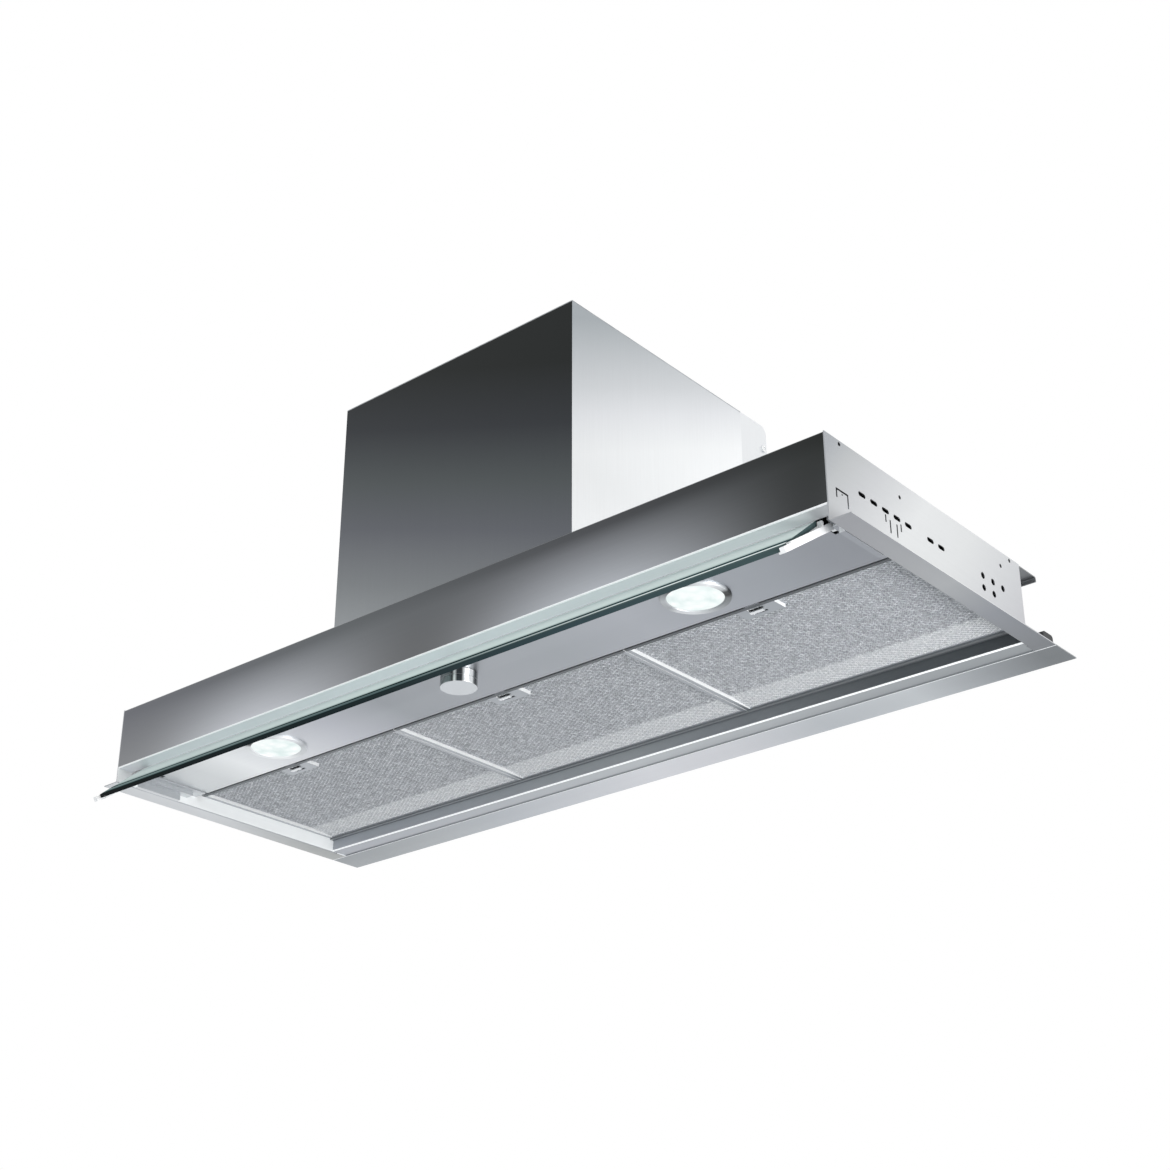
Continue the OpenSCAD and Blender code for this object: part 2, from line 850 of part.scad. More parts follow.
// The scroll's outline in (y, z) about the fan's axis: three quarter arcs that grow by one step
// each, and the neck. The wall is added outside.
module scroll_outline(wall, top) {
    s = scroll_step;
    r = scroll_r + wall;
    big = r + 3 * s;
    intersection() {
        circle(r);
        square([big, big]);
    }
    translate([-s, 0])
        intersection() {
            circle(r + s);
            translate([0, -big])
                square([big, big]);
        }
    translate([-s, s])
        intersection() {
            circle(r + 2 * s);
            translate([-big, -big])
                square([big, big]);
        }
    translate([-s, 0])
        square([s, s]);
    translate([-r - 3 * s, s])
        square([r + 3 * s + neck_rear + wall, top - s]);
}

// Half of the scroll, for the side s = -1 or 1
module scroll_half(s) {
    top = z_plate - fan_z;
    color("#d8d9d6")
        difference() {
            translate([0, fan_y, fan_z])
                union() {
                    along_x(s > 0 ? 0 : -scroll_side, scroll_side)
                        scroll_outline(scroll_wall, top);
                    // Flange under the top plate
                    block([s > 0 ? 0 : -scroll_side - neck_flange_w,
                           -scroll_r - 3 * scroll_step - scroll_wall - neck_flange_w, top - scroll_wall],
                          [scroll_side + neck_flange_w, neck_d + 2 * scroll_wall + 2 * neck_flange_w,
                           scroll_wall]);
                    // Rounded mouth of the air inlet
                    bar_x(eye_r + mouth_t, s > 0 ? scroll_side - scroll_wall : -scroll_side - scroll_wall,
                          2 * scroll_wall, 0, 0);
                }
            translate([0, fan_y, fan_z]) {
                along_x(s > 0 ? -over : -scroll_w / 2, scroll_w / 2 + over)
                    scroll_outline(0, top + over);
                bar_x(eye_r, s > 0 ? scroll_w / 2 - over : -scroll_side - scroll_wall - over,
                      2 * (scroll_wall + over), 0, 0);
            }
            // Flat seat for the motor bracket on the right half
            if (s > 0)
                bar_x(bracket_foot_r + over, scroll_side, scroll_wall + over, fan_y, fan_z);
            screw_holes("bracket");
            screw_holes("collar");
        }
}

module scroll_left() { scroll_half(-1); }
module scroll_right() { scroll_half(1); }

// Points of one forward-curved blade, a bow of constant thickness
blade_n = 4;
blade_lean_share = 0.45;
function blade_line(side) = [for (k = [0 : blade_n])
    let (r = wheel_r - blade_depth + blade_depth * k / blade_n - ring_w * 0.2,
         lean = blade_lean_share * blade_depth * pow(k / blade_n, 2))
    [r, lean + side * blade_t / 2]];

// Half of the fan wheel's cage, for the side s = -1 or 1: blades from the disc to an end ring
module fan_cage(s) {
    cage_l = (wheel_w - disc_t) / 2;
    ring_x = s > 0 ? wheel_w / 2 - ring_w : -wheel_w / 2;
    color("#9fa2a4")
        union() {
            translate([s > 0 ? disc_t / 2 : -wheel_w / 2, fan_y, fan_z])
                rotate([0, 90, 0])
                    linear_extrude(cage_l)
                        for (k = [0 : blade_count - 1])
                            rotate(k * 360 / blade_count)
                                polygon(concat(blade_line(1),
                                        [for (i = [blade_n : -1 : 0]) blade_line(-1)[i]]));
            difference() {
                bar_x(wheel_r, ring_x, ring_w, fan_y, fan_z);
                bar_x(wheel_r - ring_w, ring_x - over, ring_w + 2 * over, fan_y, fan_z);
            }
        }
}

module fan_wheel_left() { fan_cage(-1); }
module fan_wheel_right() { fan_cage(1); }

// Disc between the two cages, with the hub on its left face
module fan_hub_disc() {
    color("#9fa2a4")
        difference() {
            union() {
                bar_x(wheel_r, -disc_t / 2, disc_t, fan_y, fan_z);
                bar_x(hub_r, -hub_l, hub_l, fan_y, fan_z);
            }
            bar_x(shaft_r, -hub_l - over, hub_l + disc_t + 2 * over, fan_y, fan_z);
        }
}

module motor_shaft() {
    color("#c4c6c8")
        bar_x(shaft_r, -hub_l - shaft_out, hub_l + 2 * shaft_out + cap_plate_x + cap_plate_t,
              fan_y, fan_z);
}

module rotor_core() {
    color("#7b6f62")
        difference() {
            bar_x(rotor_r, motor_mid_x - rotor_l / 2, rotor_l, fan_y, fan_z);
            bar_x(shaft_r, motor_mid_x - rotor_l / 2 - over, rotor_l + 2 * over, fan_y, fan_z);
        }
}

module stator() {
    color("#8e5a34")
        difference() {
            bar_x(motor_r - motor_wall, motor_mid_x - stator_l / 2, stator_l, fan_y, fan_z);
            bar_x(rotor_r + rotor_air_gap, motor_mid_x - stator_l / 2 - over, stator_l + 2 * over,
                  fan_y, fan_z);
        }
}

module motor_housing() {
    color("#5a5d60")
        difference() {
            union() {
                bar_x(motor_r, motor_x0, motor_l, fan_y, fan_z);
                bar_x(motor_flange_r, motor_seat_x, motor_flange_t, fan_y, fan_z);
            }
            bar_x(motor_r - motor_wall, motor_x0 + motor_wall, motor_l + motor_flange_t, fan_y, fan_z);
            bar_x(bush_r, motor_x0 - over, motor_wall + 2 * over, fan_y, fan_z);
        }
}

module motor_end_cap() {
    color("#5a5d60")
        difference() {
            union() {
                bar_x(motor_flange_r, cap_plate_x, cap_plate_t, fan_y, fan_z);
                bar_x(bush_r + motor_wall, cap_plate_x + cap_plate_t - bush_l, bush_l, fan_y, fan_z);
            }
            bar_x(bush_r, cap_plate_x + cap_plate_t - bush_l - over, bush_l + 2 * over, fan_y, fan_z);
        }
}

// Shaft bush that starts at x0
module bush(x0) {
    color("#b08d4a")
        difference() {
            bar_x(bush_r, x0, bush_l, fan_y, fan_z);
            bar_x(shaft_r + run_gap, x0 - over, bush_l + 2 * over, fan_y, fan_z);
        }
}

module bush_front() { bush(motor_x0); }
module bush_rear() { bush(cap_plate_x + cap_plate_t - bush_l); }

// Spider that holds the motor in the right inlet
module motor_bracket() {
    color("#9a9da0")
        difference() {
            union() {
                bar_x(bracket_ring_r, scroll_side, bracket_t, fan_y, fan_z);
                for (k = [0 : 2])
                    translate([scroll_side, fan_y, fan_z])
                        rotate([-k * bracket_turn, 0, 0])
                            block([0, -bracket_arm_w / 2, 0], [bracket_t, bracket_arm_w, bracket_foot_r]);
            }
            bar_x(motor_r + run_gap, scroll_side - over, bracket_t + 2 * over, fan_y, fan_z);
            screw_holes("bracket");
        }
}

module run_capacitor() {
    color("#e4e4e0")
        union() {
            bar_x(cap_r, -scroll_side - cap_l, cap_l, cap_y, cap_z);
            bar_x(cap_r / 3, -scroll_side - 1.1 * cap_l, 0.2 * cap_l, cap_y, cap_z);
        }
}

module connection_box() {
    color("#2c2e31")
        difference() {
            block([conn_x, conn_y, conn_z], [conn_d, conn_l, conn_h]);
            block([conn_x + conn_wall, conn_y + conn_wall, conn_z + conn_wall],
                  [conn_d, conn_l - 2 * conn_wall, conn_h - 2 * conn_wall]);
        }
}

module connection_box_lid() {
    color("#36383b")
        block([conn_x + conn_d, conn_y, conn_z], [lid_t, conn_l, conn_h]);
}

module terminal_block() {
    color("#e9e6dc")
        block([conn_x + conn_wall, conn_y + 0.25 * conn_l, conn_z + 0.25 * conn_h],
              [term_shares[2] * conn_d, term_shares[0] * conn_l, term_shares[1] * conn_h]);
}

// Gland in the top plate for the mains cable, which is not part of the hood
module cable_gland() {
    color("#2c2e31")
        translate([gland_x, gland_y, z_box_top])
            difference() {
                union() {
                    cylinder(r = gland_nut_r, h = gland_nut_h, $fn = 6);
                    translate([0, 0, -gland_in_l])
                        cylinder(r = gland_thread_r, h = gland_in_l + gland_h);
                }
                translate([0, 0, -gland_in_l - over])
                    cylinder(r = gland_bore_r, h = gland_in_l + gland_h + 2 * over);
            }
}

module lamp_driver() {
    color("#ececea")
        block([-lamp_x / 2 - driver_l / 2, panel_y + (panel_d - driver_w) / 2, panel_z + sheet_t],
              [driver_l, driver_w, driver_h]);
}

// Lamp panel: a tray with upturned front and rear edges
module lamp_panel() {
    color("#a5a9ad")
        difference() {
            along_x(-panel_half_w, 2 * panel_half_w)
                sheet_profile([
                    [panel_y + half, panel_z + panel_edge_h],
                    [panel_y + half, panel_z + half],
                    [panel_y2 - half, panel_z + half],
                    [panel_y2 - half, panel_z + panel_edge_h]
                ]);
            for (s = [-1, 1]) {
                translate([s * lamp_x, lamp_y, panel_z - over])
                    cylinder(r = ring_sleeve_r + ease / 3, h = sheet_t + 2 * over);
                // Notches for the visor's arms
                block([s > 0 ? arm_x - bracket_gap : -panel_half_w - over, panel_y - over, panel_z - over],
                      [panel_half_w - arm_x + bracket_gap + over,
                       visor_y + arm_tail_r + over - panel_y + over, panel_edge_h + 2 * over]);
            }
            translate([0, knob_y, panel_z - over])
                cylinder(r = spindle_r + ease, h = sheet_t + 2 * over);
            // Windows that the filters' latch tongues face
            for (i = [0 : filter_count - 1])
                block([filter_x(i) + grip_x - over, panel_y2 - sheet_t - over, latch_z - ease],
                      [tongue_w + 2 * over, sheet_t + 2 * over, latch_t + 2 * ease]);
        }
}

// Ring of a lamp at the place x: a rounded flange below the panel and a sleeve through it
module lamp_ring(x) {
    rim = ring_r - lens_r;
    color("#d9dbdd")
        translate([x, lamp_y, panel_z - ring_drop])
            rotate_extrude()
                difference() {
                    union() {
                        translate([lens_r, ring_drop / 2])
                            square([rim, ring_drop / 2]);
                        translate([lens_r + ring_drop / 2, 0])
                            square([rim - ring_drop, ring_drop]);
                        for (r = [lens_r + ring_drop / 2, ring_r - ring_drop / 2])
                            translate([r, ring_drop / 2])
                                circle(ring_drop / 2);
                        translate([ring_sleeve_r - ring_sleeve_t, ring_drop])
                            square([ring_sleeve_t, ring_sleeve_h]);
                    }
                    translate([0, -over])
                        square([lens_r, ring_drop + over]);
                }
}

module lamp_ring_left() { lamp_ring(-lamp_x); }
module lamp_ring_right() { lamp_ring(lamp_x); }

// Lens of a lamp: a disc that lies on the ring's bore, with a flange above it
module lamp_lens(x) {
    color("#f4f6f6")
        translate([x, lamp_y, panel_z - ring_drop * 0.6])
            union() {
                cylinder(r = lens_r, h = lens_t);
                translate([0, 0, ring_drop * 0.6])
                    cylinder(r = ring_sleeve_r - ring_sleeve_t, h = lens_flange_t);
            }
}

module lamp_lens_left() { lamp_lens(-lamp_x); }
module lamp_lens_right() { lamp_lens(lamp_x); }

// Housing of a lamp: an upturned cup on the panel, with cooling ribs on top
module lamp_housing(x) {
    color("#b7babc")
        translate([x, lamp_y, panel_z + sheet_t])
            difference() {
                cylinder(r = lamp_cup_r, h = lamp_cup_h);
                translate([0, 0, -over])
                    cylinder(r = ring_sleeve_r + over, h = lamp_cup_h - 4 * cup_wall + over);
                for (k = [1 : cup_rib_n])
                    translate([-lamp_cup_r - over,
                               -lamp_cup_r + (2 * k - 0.5) * lamp_cup_r / (cup_rib_n + 0.5) - cup_wall / 2,
                               lamp_cup_h - 2 * cup_wall])
                        cube([2 * lamp_cup_r + 2 * over, cup_wall, 2 * cup_wall + over]);
            }
}

module lamp_housing_left() { lamp_housing(-lamp_x); }
module lamp_housing_right() { lamp_housing(lamp_x); }

module rotary_switch() {
    color("#2b2d2f")
        difference() {
            block([-switch_w / 2, knob_y - switch_w / 2, panel_z + sheet_t],
                  [switch_w, switch_w, switch_h]);
            translate([0, knob_y, panel_z + sheet_t - over])
                cylinder(r = spindle_r + run_gap, h = 0.9 * switch_h + over);
        }
}

module control_knob() {
    color("#cfd1d3")
        translate([0, knob_y, knob_low])
            difference() {
                rotate_extrude()
                    difference() {
                        union() {
                            square([knob_r - knob_edge, knob_h]);
                            translate([0, knob_edge])
                                square([knob_r, knob_h - knob_edge]);
                            translate([knob_r - knob_edge, knob_edge])
                                circle(knob_edge);
                        }
                        translate([knob_r - knob_groove, knob_h / 2 - knob_groove / 2])
                            square([knob_groove + over, knob_groove]);
                        translate([-knob_r, -over])
                            square([knob_r, knob_h + 2 * over]);
                    }
                translate([0, 0, knob_h / 4])
                    cylinder(r = spindle_r, h = knob_h);
            }
}

module knob_spindle() {
    color("#b8bbbd")
        translate([0, knob_y, knob_low + knob_h / 4])
            cylinder(r = spindle_r, h = spindle_l);
}

// Glass of the visor. Its upper rear corner lies just in front of the front panel's lip.
module visor_glass() {
    color("#9fc0b4", 0.6)
        translate([-glass_half_w, glass_corner_y, glass_corner_z])
            rotate([glass_tilt, 0, 0])
                translate([0, -glass_l, 0])
                    cube([2 * glass_half_w, glass_l, glass_t]);
}

// End arm of the visor: a bar from the pin to the glass's front edge, with a lower cap at the
// front, a round end at the pin, a tab beside the glass's rear edge and a shelf under the glass
module visor_arm(s) {
    x0 = s > 0 ? arm_x : -arm_x - arm_t;
    color("#dfe2e4")
        difference() {
            union() {
                translate([x0, visor_y, visor_axis_z])
                    rotate([arm_tilt, 0, 0])
                        union() {
                            translate([0, arm_cap_l - arm_l, -arm_h / 2])
                                cube([arm_t, arm_l - arm_cap_l, arm_h]);
                            translate([0, -arm_l, -arm_h / 2])
                                cube([arm_t, arm_cap_l + over, 0.8 * arm_h]);
                        }
                bar_x(arm_tail_r, x0, arm_t, visor_y, visor_axis_z);
                block([x0, glass_corner_y - arm_tab_d, glass_corner_z - glass_t],
                      [arm_t, arm_tab_d, 1.4 * glass_t]);
                translate([s > 0 ? glass_half_w - shelf_w : -arm_x - over,
                           glass_corner_y, glass_corner_z])
                    rotate([glass_tilt, 0, 0])
                        translate([0, -glass_l, -shelf_t])
                            cube([glass_side_gap + shelf_w + over, glass_l, shelf_t]);
            }
            bar_x(visor_pin_r, x0 - over, arm_t + 2 * over, visor_y, visor_axis_z);
        }
}

module visor_arm_left() { visor_arm(-1); }
module visor_arm_right() { visor_arm(1); }

// The two hinge pins, fixed in the arms
module visor_pins() {
    color("#b8bbbd")
        for (s = [-1, 1])
            bar_x(visor_pin_r, s > 0 ? arm_x : -bracket_x - pin_in_l, bracket_x + pin_in_l - arm_x,
                  visor_y, visor_axis_z);
}

// Filters. Number 0 is the left one.
function filter_x(i) = (i - (filter_count - 1) / 2) * filter_pitch;

module filter_frame(i) {
    color("#c5c8ca")
        translate([filter_x(i), filter_y, filter_z])
            difference() {
                union() {
                    difference() {
                        block([-filter_w / 2, 0, 0], [filter_w, filter_d, filter_t]);
                        block([-filter_w / 2 + rim_w, rim_w, -over],
                              [filter_w - 2 * rim_w, filter_d - 2 * rim_w, filter_t + 2 * over]);
                    }
                    // Tray of the latch: a plate with an upturned edge at its sides and rear
                    difference() {
                        block([pocket_x, rim_w - over, 0], [pocket_w, pocket_d + over, mesh_lift + mesh_t]);
                        block([pocket_x + pocket_plate_t, rim_w - 2 * over, pocket_plate_t],
                              [pocket_w - 2 * pocket_plate_t, pocket_d + 2 * over - pocket_plate_t,
                               mesh_lift + mesh_t]);
                    }
                }
                // Slit in the rim for the latch's tongue
                block([grip_x - ease, -over, latch_z - ease - filter_z],
                      [tongue_w + 2 * ease, rim_w + 2 * over, latch_t + 2 * ease]);
                // Finger opening in the tray
                block([grip_x - ease, rim_w + ease, -over],
                      [grip_w + 2 * ease, grip_y + grip_t + latch_travel + ease - rim_w,
                       pocket_plate_t + 2 * over]);
            }
}

module filter_frame_left() { filter_frame(0); }
module filter_frame_middle() { filter_frame(1); }
module filter_frame_right() { filter_frame(2); }

// Mesh pad of a filter: level at the front, with a band at the rear that slopes down
module filter_mesh(i) {
    inner_d = filter_d - 2 * rim_w;
    color("#a7abb0")
        translate([filter_x(i), filter_y + rim_w, filter_z])
            difference() {
                along_x(-filter_w / 2 + rim_w, filter_w - 2 * rim_w)
                    polygon([
                        [0, mesh_lift],
                        [inner_d - band_d, mesh_lift],
                        [inner_d, mesh_lift - band_drop],
                        [inner_d, mesh_lift - band_drop + mesh_t],
                        [inner_d - band_d, mesh_lift + mesh_t],
                        [0, mesh_lift + mesh_t]
                    ]);
                block([pocket_x, -over, -over], [pocket_w, pocket_d + over, filter_t + 2 * over]);
            }
}

module filter_mesh_left() { filter_mesh(0); }
module filter_mesh_middle() { filter_mesh(1); }
module filter_mesh_right() { filter_mesh(2); }

module filter_latch(i) {
    color("#dadcde")
        translate([filter_x(i), filter_y, 0])
            union() {
                difference() {
                    block([grip_x - slider_side, rim_w + ease, latch_z],
                          [grip_w + 2 * slider_side, slider_y2 - rim_w - ease, latch_t]);
                    block([grip_x, rim_w + 2 * slider_side, latch_z - over],
                          [grip_w, grip_y - rim_w - 2 * slider_side, latch_t + 2 * over]);
                }
                block([grip_x, -latch_nose, latch_z], [tongue_w, rim_w + latch_nose + over, latch_t]);
                block([grip_x, grip_y, filter_z - grip_drop],
                      [grip_w, grip_t, latch_z - filter_z + grip_drop + over]);
                block([grip_x, grip_y - grip_foot_d, filter_z - grip_drop],
                      [grip_w, grip_foot_d + over, filter_skin]);
            }
}

module filter_latch_left() { filter_latch(0); }
module filter_latch_middle() { filter_latch(1); }
module filter_latch_right() { filter_latch(2); }

front_panel();
side_panel_left();
side_panel_right();
top_panel();
rear_wall();
rear_flange();
flange_spacers();
end_bracket_left();
end_bracket_right();
filter_rear_rail();
motor_box_shell();
motor_box_cover();
motor_box_top();
duct_collar();
flap_left();
flap_right();
flap_pin();
scroll_left();
scroll_right();
fan_wheel_left();
fan_wheel_right();
fan_hub_disc();
motor_shaft();
rotor_core();
motor_housing();
motor_end_cap();
stator();
bush_front();
bush_rear();
motor_bracket();
run_capacitor();
connection_box();
connection_box_lid();
terminal_block();
cable_gland();
lamp_driver();
lamp_panel();
lamp_ring_left();
lamp_ring_right();
lamp_lens_left();
lamp_lens_right();
lamp_housing_left();
lamp_housing_right();
rotary_switch();
control_knob();
knob_spindle();
visor_glass();
visor_arm_left();
visor_arm_right();
visor_pins();
filter_frame_left();
filter_frame_middle();
filter_frame_right();
filter_mesh_left();
filter_mesh_middle();
filter_mesh_right();
filter_latch_left();
filter_latch_middle();
filter_latch_right();
screws();
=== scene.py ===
# %% [markdown]
# # Integrated range hood, dressed for its portrait
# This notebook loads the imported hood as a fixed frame, hangs it in a white studio, and gives it its
# surfaces: satin sheet steel that changes tone with the direction it faces, expanded-metal filters,
# a thick glass visor with a dark polished edge, lit lamps and a chrome knob.
# Units are metres. +X is to the hood's right, +Y to its rear and +Z up. The origin is the middle of
# the rear flange, on its seating face. Every new piece is written in these coordinates.

# %% load the frame
import math
import bpy
import numpy as np
from mathutils import Matrix, Vector


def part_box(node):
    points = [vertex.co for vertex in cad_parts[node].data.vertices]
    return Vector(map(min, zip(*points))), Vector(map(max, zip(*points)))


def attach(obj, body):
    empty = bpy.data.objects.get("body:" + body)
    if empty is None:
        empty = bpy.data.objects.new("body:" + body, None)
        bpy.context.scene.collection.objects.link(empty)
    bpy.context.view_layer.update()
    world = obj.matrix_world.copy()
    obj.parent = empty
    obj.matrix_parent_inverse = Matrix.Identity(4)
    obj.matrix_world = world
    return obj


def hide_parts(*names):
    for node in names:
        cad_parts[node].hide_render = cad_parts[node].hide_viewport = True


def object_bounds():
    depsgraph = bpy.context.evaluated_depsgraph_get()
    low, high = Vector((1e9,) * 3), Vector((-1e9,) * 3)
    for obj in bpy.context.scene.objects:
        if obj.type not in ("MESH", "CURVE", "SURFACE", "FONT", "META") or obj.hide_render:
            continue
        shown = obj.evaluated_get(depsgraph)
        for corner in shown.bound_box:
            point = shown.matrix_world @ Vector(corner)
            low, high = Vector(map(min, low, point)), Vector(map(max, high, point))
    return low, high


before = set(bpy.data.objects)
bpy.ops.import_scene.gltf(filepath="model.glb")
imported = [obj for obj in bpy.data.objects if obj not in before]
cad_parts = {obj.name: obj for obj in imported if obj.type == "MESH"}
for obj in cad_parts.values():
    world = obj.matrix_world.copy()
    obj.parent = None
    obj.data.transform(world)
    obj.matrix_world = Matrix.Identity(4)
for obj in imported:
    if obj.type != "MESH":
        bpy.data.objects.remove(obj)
low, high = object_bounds()
MM = 0.001

# %% [markdown]
# ## Camera
# The view was recovered from the straight edges of the body. The lens looks up at the hood from its
# front right. The film is 36 mm wide and square. A camera could be moved by eye until it fits. This
# one is worked out from its place, three turns and a focal length in pixels, so it can be checked.

# %% camera
FILM_MM, FOCAL_PX, PHOTO_PX = 36, 1926.27, 1170
eye = Vector((1115.3, -1418.6, -677.2)) * MM
yaw, pitch, roll = 0.70546, 0.45579, -0.00198
ahead = Vector((-math.sin(yaw) * math.cos(pitch), math.cos(yaw) * math.cos(pitch), math.sin(pitch)))
right = ahead.cross(Vector((0, 0, 1))).normalized()
up = right.cross(ahead)
right, up = (right * math.cos(roll) + up * math.sin(roll),
             up * math.cos(roll) - right * math.sin(roll))
camera = bpy.data.objects.new("camera", bpy.data.cameras.new("camera"))
camera.data.sensor_width = FILM_MM
camera.data.lens = FILM_MM * FOCAL_PX / PHOTO_PX
camera.data.clip_start = 0.05
camera.data.clip_end = 50
camera.matrix_world = Matrix((
    (right.x, up.x, -ahead.x, eye.x),
    (right.y, up.y, -ahead.y, eye.y),
    (right.z, up.z, -ahead.z, eye.z),
    (0, 0, 0, 1)))
bpy.context.scene.collection.objects.link(camera)
bpy.context.scene.camera = camera
bpy.context.scene.view_settings.view_transform = "Standard"
print("camera at", [round(v, 3) for v in eye], "lens", round(camera.data.lens, 2))

# %% [markdown]
# ## Small helpers
# `linear` turns an sRGB colour code into the linear values that Blender mixes. `add` makes one
# shader node with its settings and links. A Map Range node takes its value, the two ends that it comes
# from and the two ends that it goes to, in that order, and a colour Mix has its two colours on sockets
# 6 and 7. `mesh_piece` turns arrays of points and faces into an object.

# %% helpers
def linear(code):
    """'#rrggbb' as linear RGBA: c/12.92 below 0.04045, else ((c + 0.055)/1.055)^2.4."""
    channels = [int(code[i:i + 2], 16) / 255 for i in (1, 3, 5)]
    return [c / 12.92 if c <= 0.04045 else ((c + 0.055) / 1.055) ** 2.4 for c in channels] + [1.0]


def add(tree, kind, inputs=(), stops=(), **settings):
    """Adds a node and sets its properties from settings. inputs holds a value for each socket, as a
    list in the sockets' order or as a dictionary by name or number. A node there feeds the socket
    from its first output in use. stops are a ramp's (position, colour code) pairs."""
    node = tree.nodes.new("ShaderNode" + kind)
    for key, value in settings.items():
        setattr(node, key, value)
    for key, value in inputs.items() if isinstance(inputs, dict) else enumerate(inputs):
        if isinstance(value, bpy.types.Node):
            value = next(output for output in value.outputs if output.enabled)
        if isinstance(value, bpy.types.NodeSocket):
            tree.links.new(value, node.inputs[key])
        else:
            node.inputs[key].default_value = value
    if stops:
        elements = node.color_ramp.elements
        while len(elements) < len(stops):
            elements.new(1.0)
        for element, (position, code) in zip(elements, stops):
            element.position, element.color = position, linear(code)
    return node


def new_material(name):
    """An empty node material and its tree."""
    material = bpy.data.materials.new(name)
    material.use_nodes = True
    material.node_tree.nodes.clear()
    return material, material.node_tree


def mesh_piece(name, points, faces, body, material, smooth=True, edge_angle=35):
    """Object from an (n, 3) array of points in metres and a list of faces, riding on a body."""
    data = bpy.data.meshes.new(name)
    data.from_pydata(np.asarray(points, float).tolist(), [], [list(map(int, face)) for face in faces])
    data.update()
    if smooth:
        data.polygons.foreach_set("use_smooth", [True] * len(data.polygons))
        data.set_sharp_from_angle(angle=math.radians(edge_angle))
    piece = bpy.data.objects.new(name, data)
    bpy.context.scene.collection.objects.link(piece)
    for entry in (material if isinstance(material, (list, tuple)) else [material]):
        data.materials.append(entry)
    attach(piece, body)
    return piece


def lathe(profile, centre, steps=120):
    """Points and faces of a surface of revolution about Z.
    P(i, k) = centre + (r_k cos a_i, r_k sin a_i, h_k), with a_i = 2 pi i / steps."""
    profile = np.asarray(profile, float)
    angle = np.arange(steps) * 2 * np.pi / steps
    r, h = profile[:, 0][None, :], profile[:, 1][None, :]
    x, y = r * np.cos(angle)[:, None], r * np.sin(angle)[:, None]
    points = np.stack([x, y, np.broadcast_to(h, x.shape)], -1).reshape(-1, 3) + np.asarray(centre, float)
    n = len(profile)
    faces = [(i * n + k, ((i + 1) % steps) * n + k, ((i + 1) % steps) * n + k + 1, i * n + k + 1)
             for i in range(steps) for k in range(n - 1)]
    return points, faces


print("helpers ready")

# %% [markdown]
# ## Studio
# A pale floor lies 1.9 m below the hood, out of the way of views from below. The air round the hood
# is an even white, so satin steel shows the tone that it is given, and three soft boxes shape it.
# Rays that leave the camera, a mirror or the glass see pure white. The floor glows by what its paint
# swallows, so open floor is as white as the air and only the hood's shadow shows on it. A picture of
# a room could light the hood too, but plain boxes leave no pattern of their own in the steel.

# %% studio
def seen_ray(tree):
    """1 for a ray from the camera, off a gloss or through glass, and 0 for the light's own way."""
    path = add(tree, "LightPath").outputs
    sharp = add(tree, "Math", [path["Is Camera Ray"], path["Is Glossy Ray"]], operation="MAXIMUM")
    return add(tree, "Math", [sharp, path["Is Transmission Ray"]], operation="MAXIMUM")


FLOOR_DROP, FLOOR_GLOW = 1.9, 0.2
floor_z = low.z - FLOOR_DROP
bpy.ops.mesh.primitive_plane_add(size=14, location=(0, 0, floor_z))
floor = bpy.context.object
floor.name = "studio_floor"
floor_material, tree = new_material("studio_floor_paint")
mottle = add(tree, "TexNoise", {"Scale": 3.0, "Detail": 3.0})
tone = add(tree, "Mix", {"Factor": mottle.outputs["Fac"], 6: linear("#e4e6e8"), 7: linear("#e8eaec")},
           data_type="RGBA")
paint = add(tree, "BsdfDiffuse", {"Color": tone, "Roughness": 0.85})
glow_strength = add(tree, "Math", [seen_ray(tree), FLOOR_GLOW], operation="MULTIPLY")
glow = add(tree, "Emission", {"Color": linear("#ffffff"), "Strength": glow_strength})
lit_floor = add(tree, "AddShader", {0: paint, 1: glow})
add(tree, "OutputMaterial", {"Surface": lit_floor})
floor.data.materials.append(floor_material)

world = bpy.data.worlds.new("studio_air")
bpy.context.scene.world = world
world.use_nodes = True
tree = world.node_tree
tree.nodes.clear()
AIR_LIGHT, AIR_SEEN = 0.93, 1.0  # what the air gives as light, and what is seen of it
strength = add(tree, "MapRange", [seen_ray(tree), 0, 1, AIR_LIGHT, AIR_SEEN])
air = add(tree, "Background", {"Color": linear("#ffffff"), "Strength": strength})
add(tree, "OutputWorld", {"Surface": air})


def soft_box(name, place, target, size, power):
    """A lamp with a flat face: place and target in metres, size across and up, power in watts."""
    light = bpy.data.lights.new(name, "AREA")
    light.shape = "RECTANGLE"
    light.size, light.size_y = size
    light.energy = power
    holder = bpy.data.objects.new(name, light)
    holder.location = place
    holder.rotation_euler = (Vector(target) - Vector(place)).to_track_quat("-Z", "Y").to_euler()
    bpy.context.scene.collection.objects.link(holder)


soft_box("box_right", (2.4, -0.6, 0.9), (0.1, -0.15, 0.1), (1.6, 1.2), 6)
soft_box("box_below", (-0.6, -1.6, -0.8), (0, -0.15, 0.05), (1.4, 0.8), 2.5)
soft_box("box_low_right", (1.3, -0.2, -0.45), (-0.4, -0.15, 0), (0.6, 0.5), 10)
print("floor at", round(floor_z, 3))
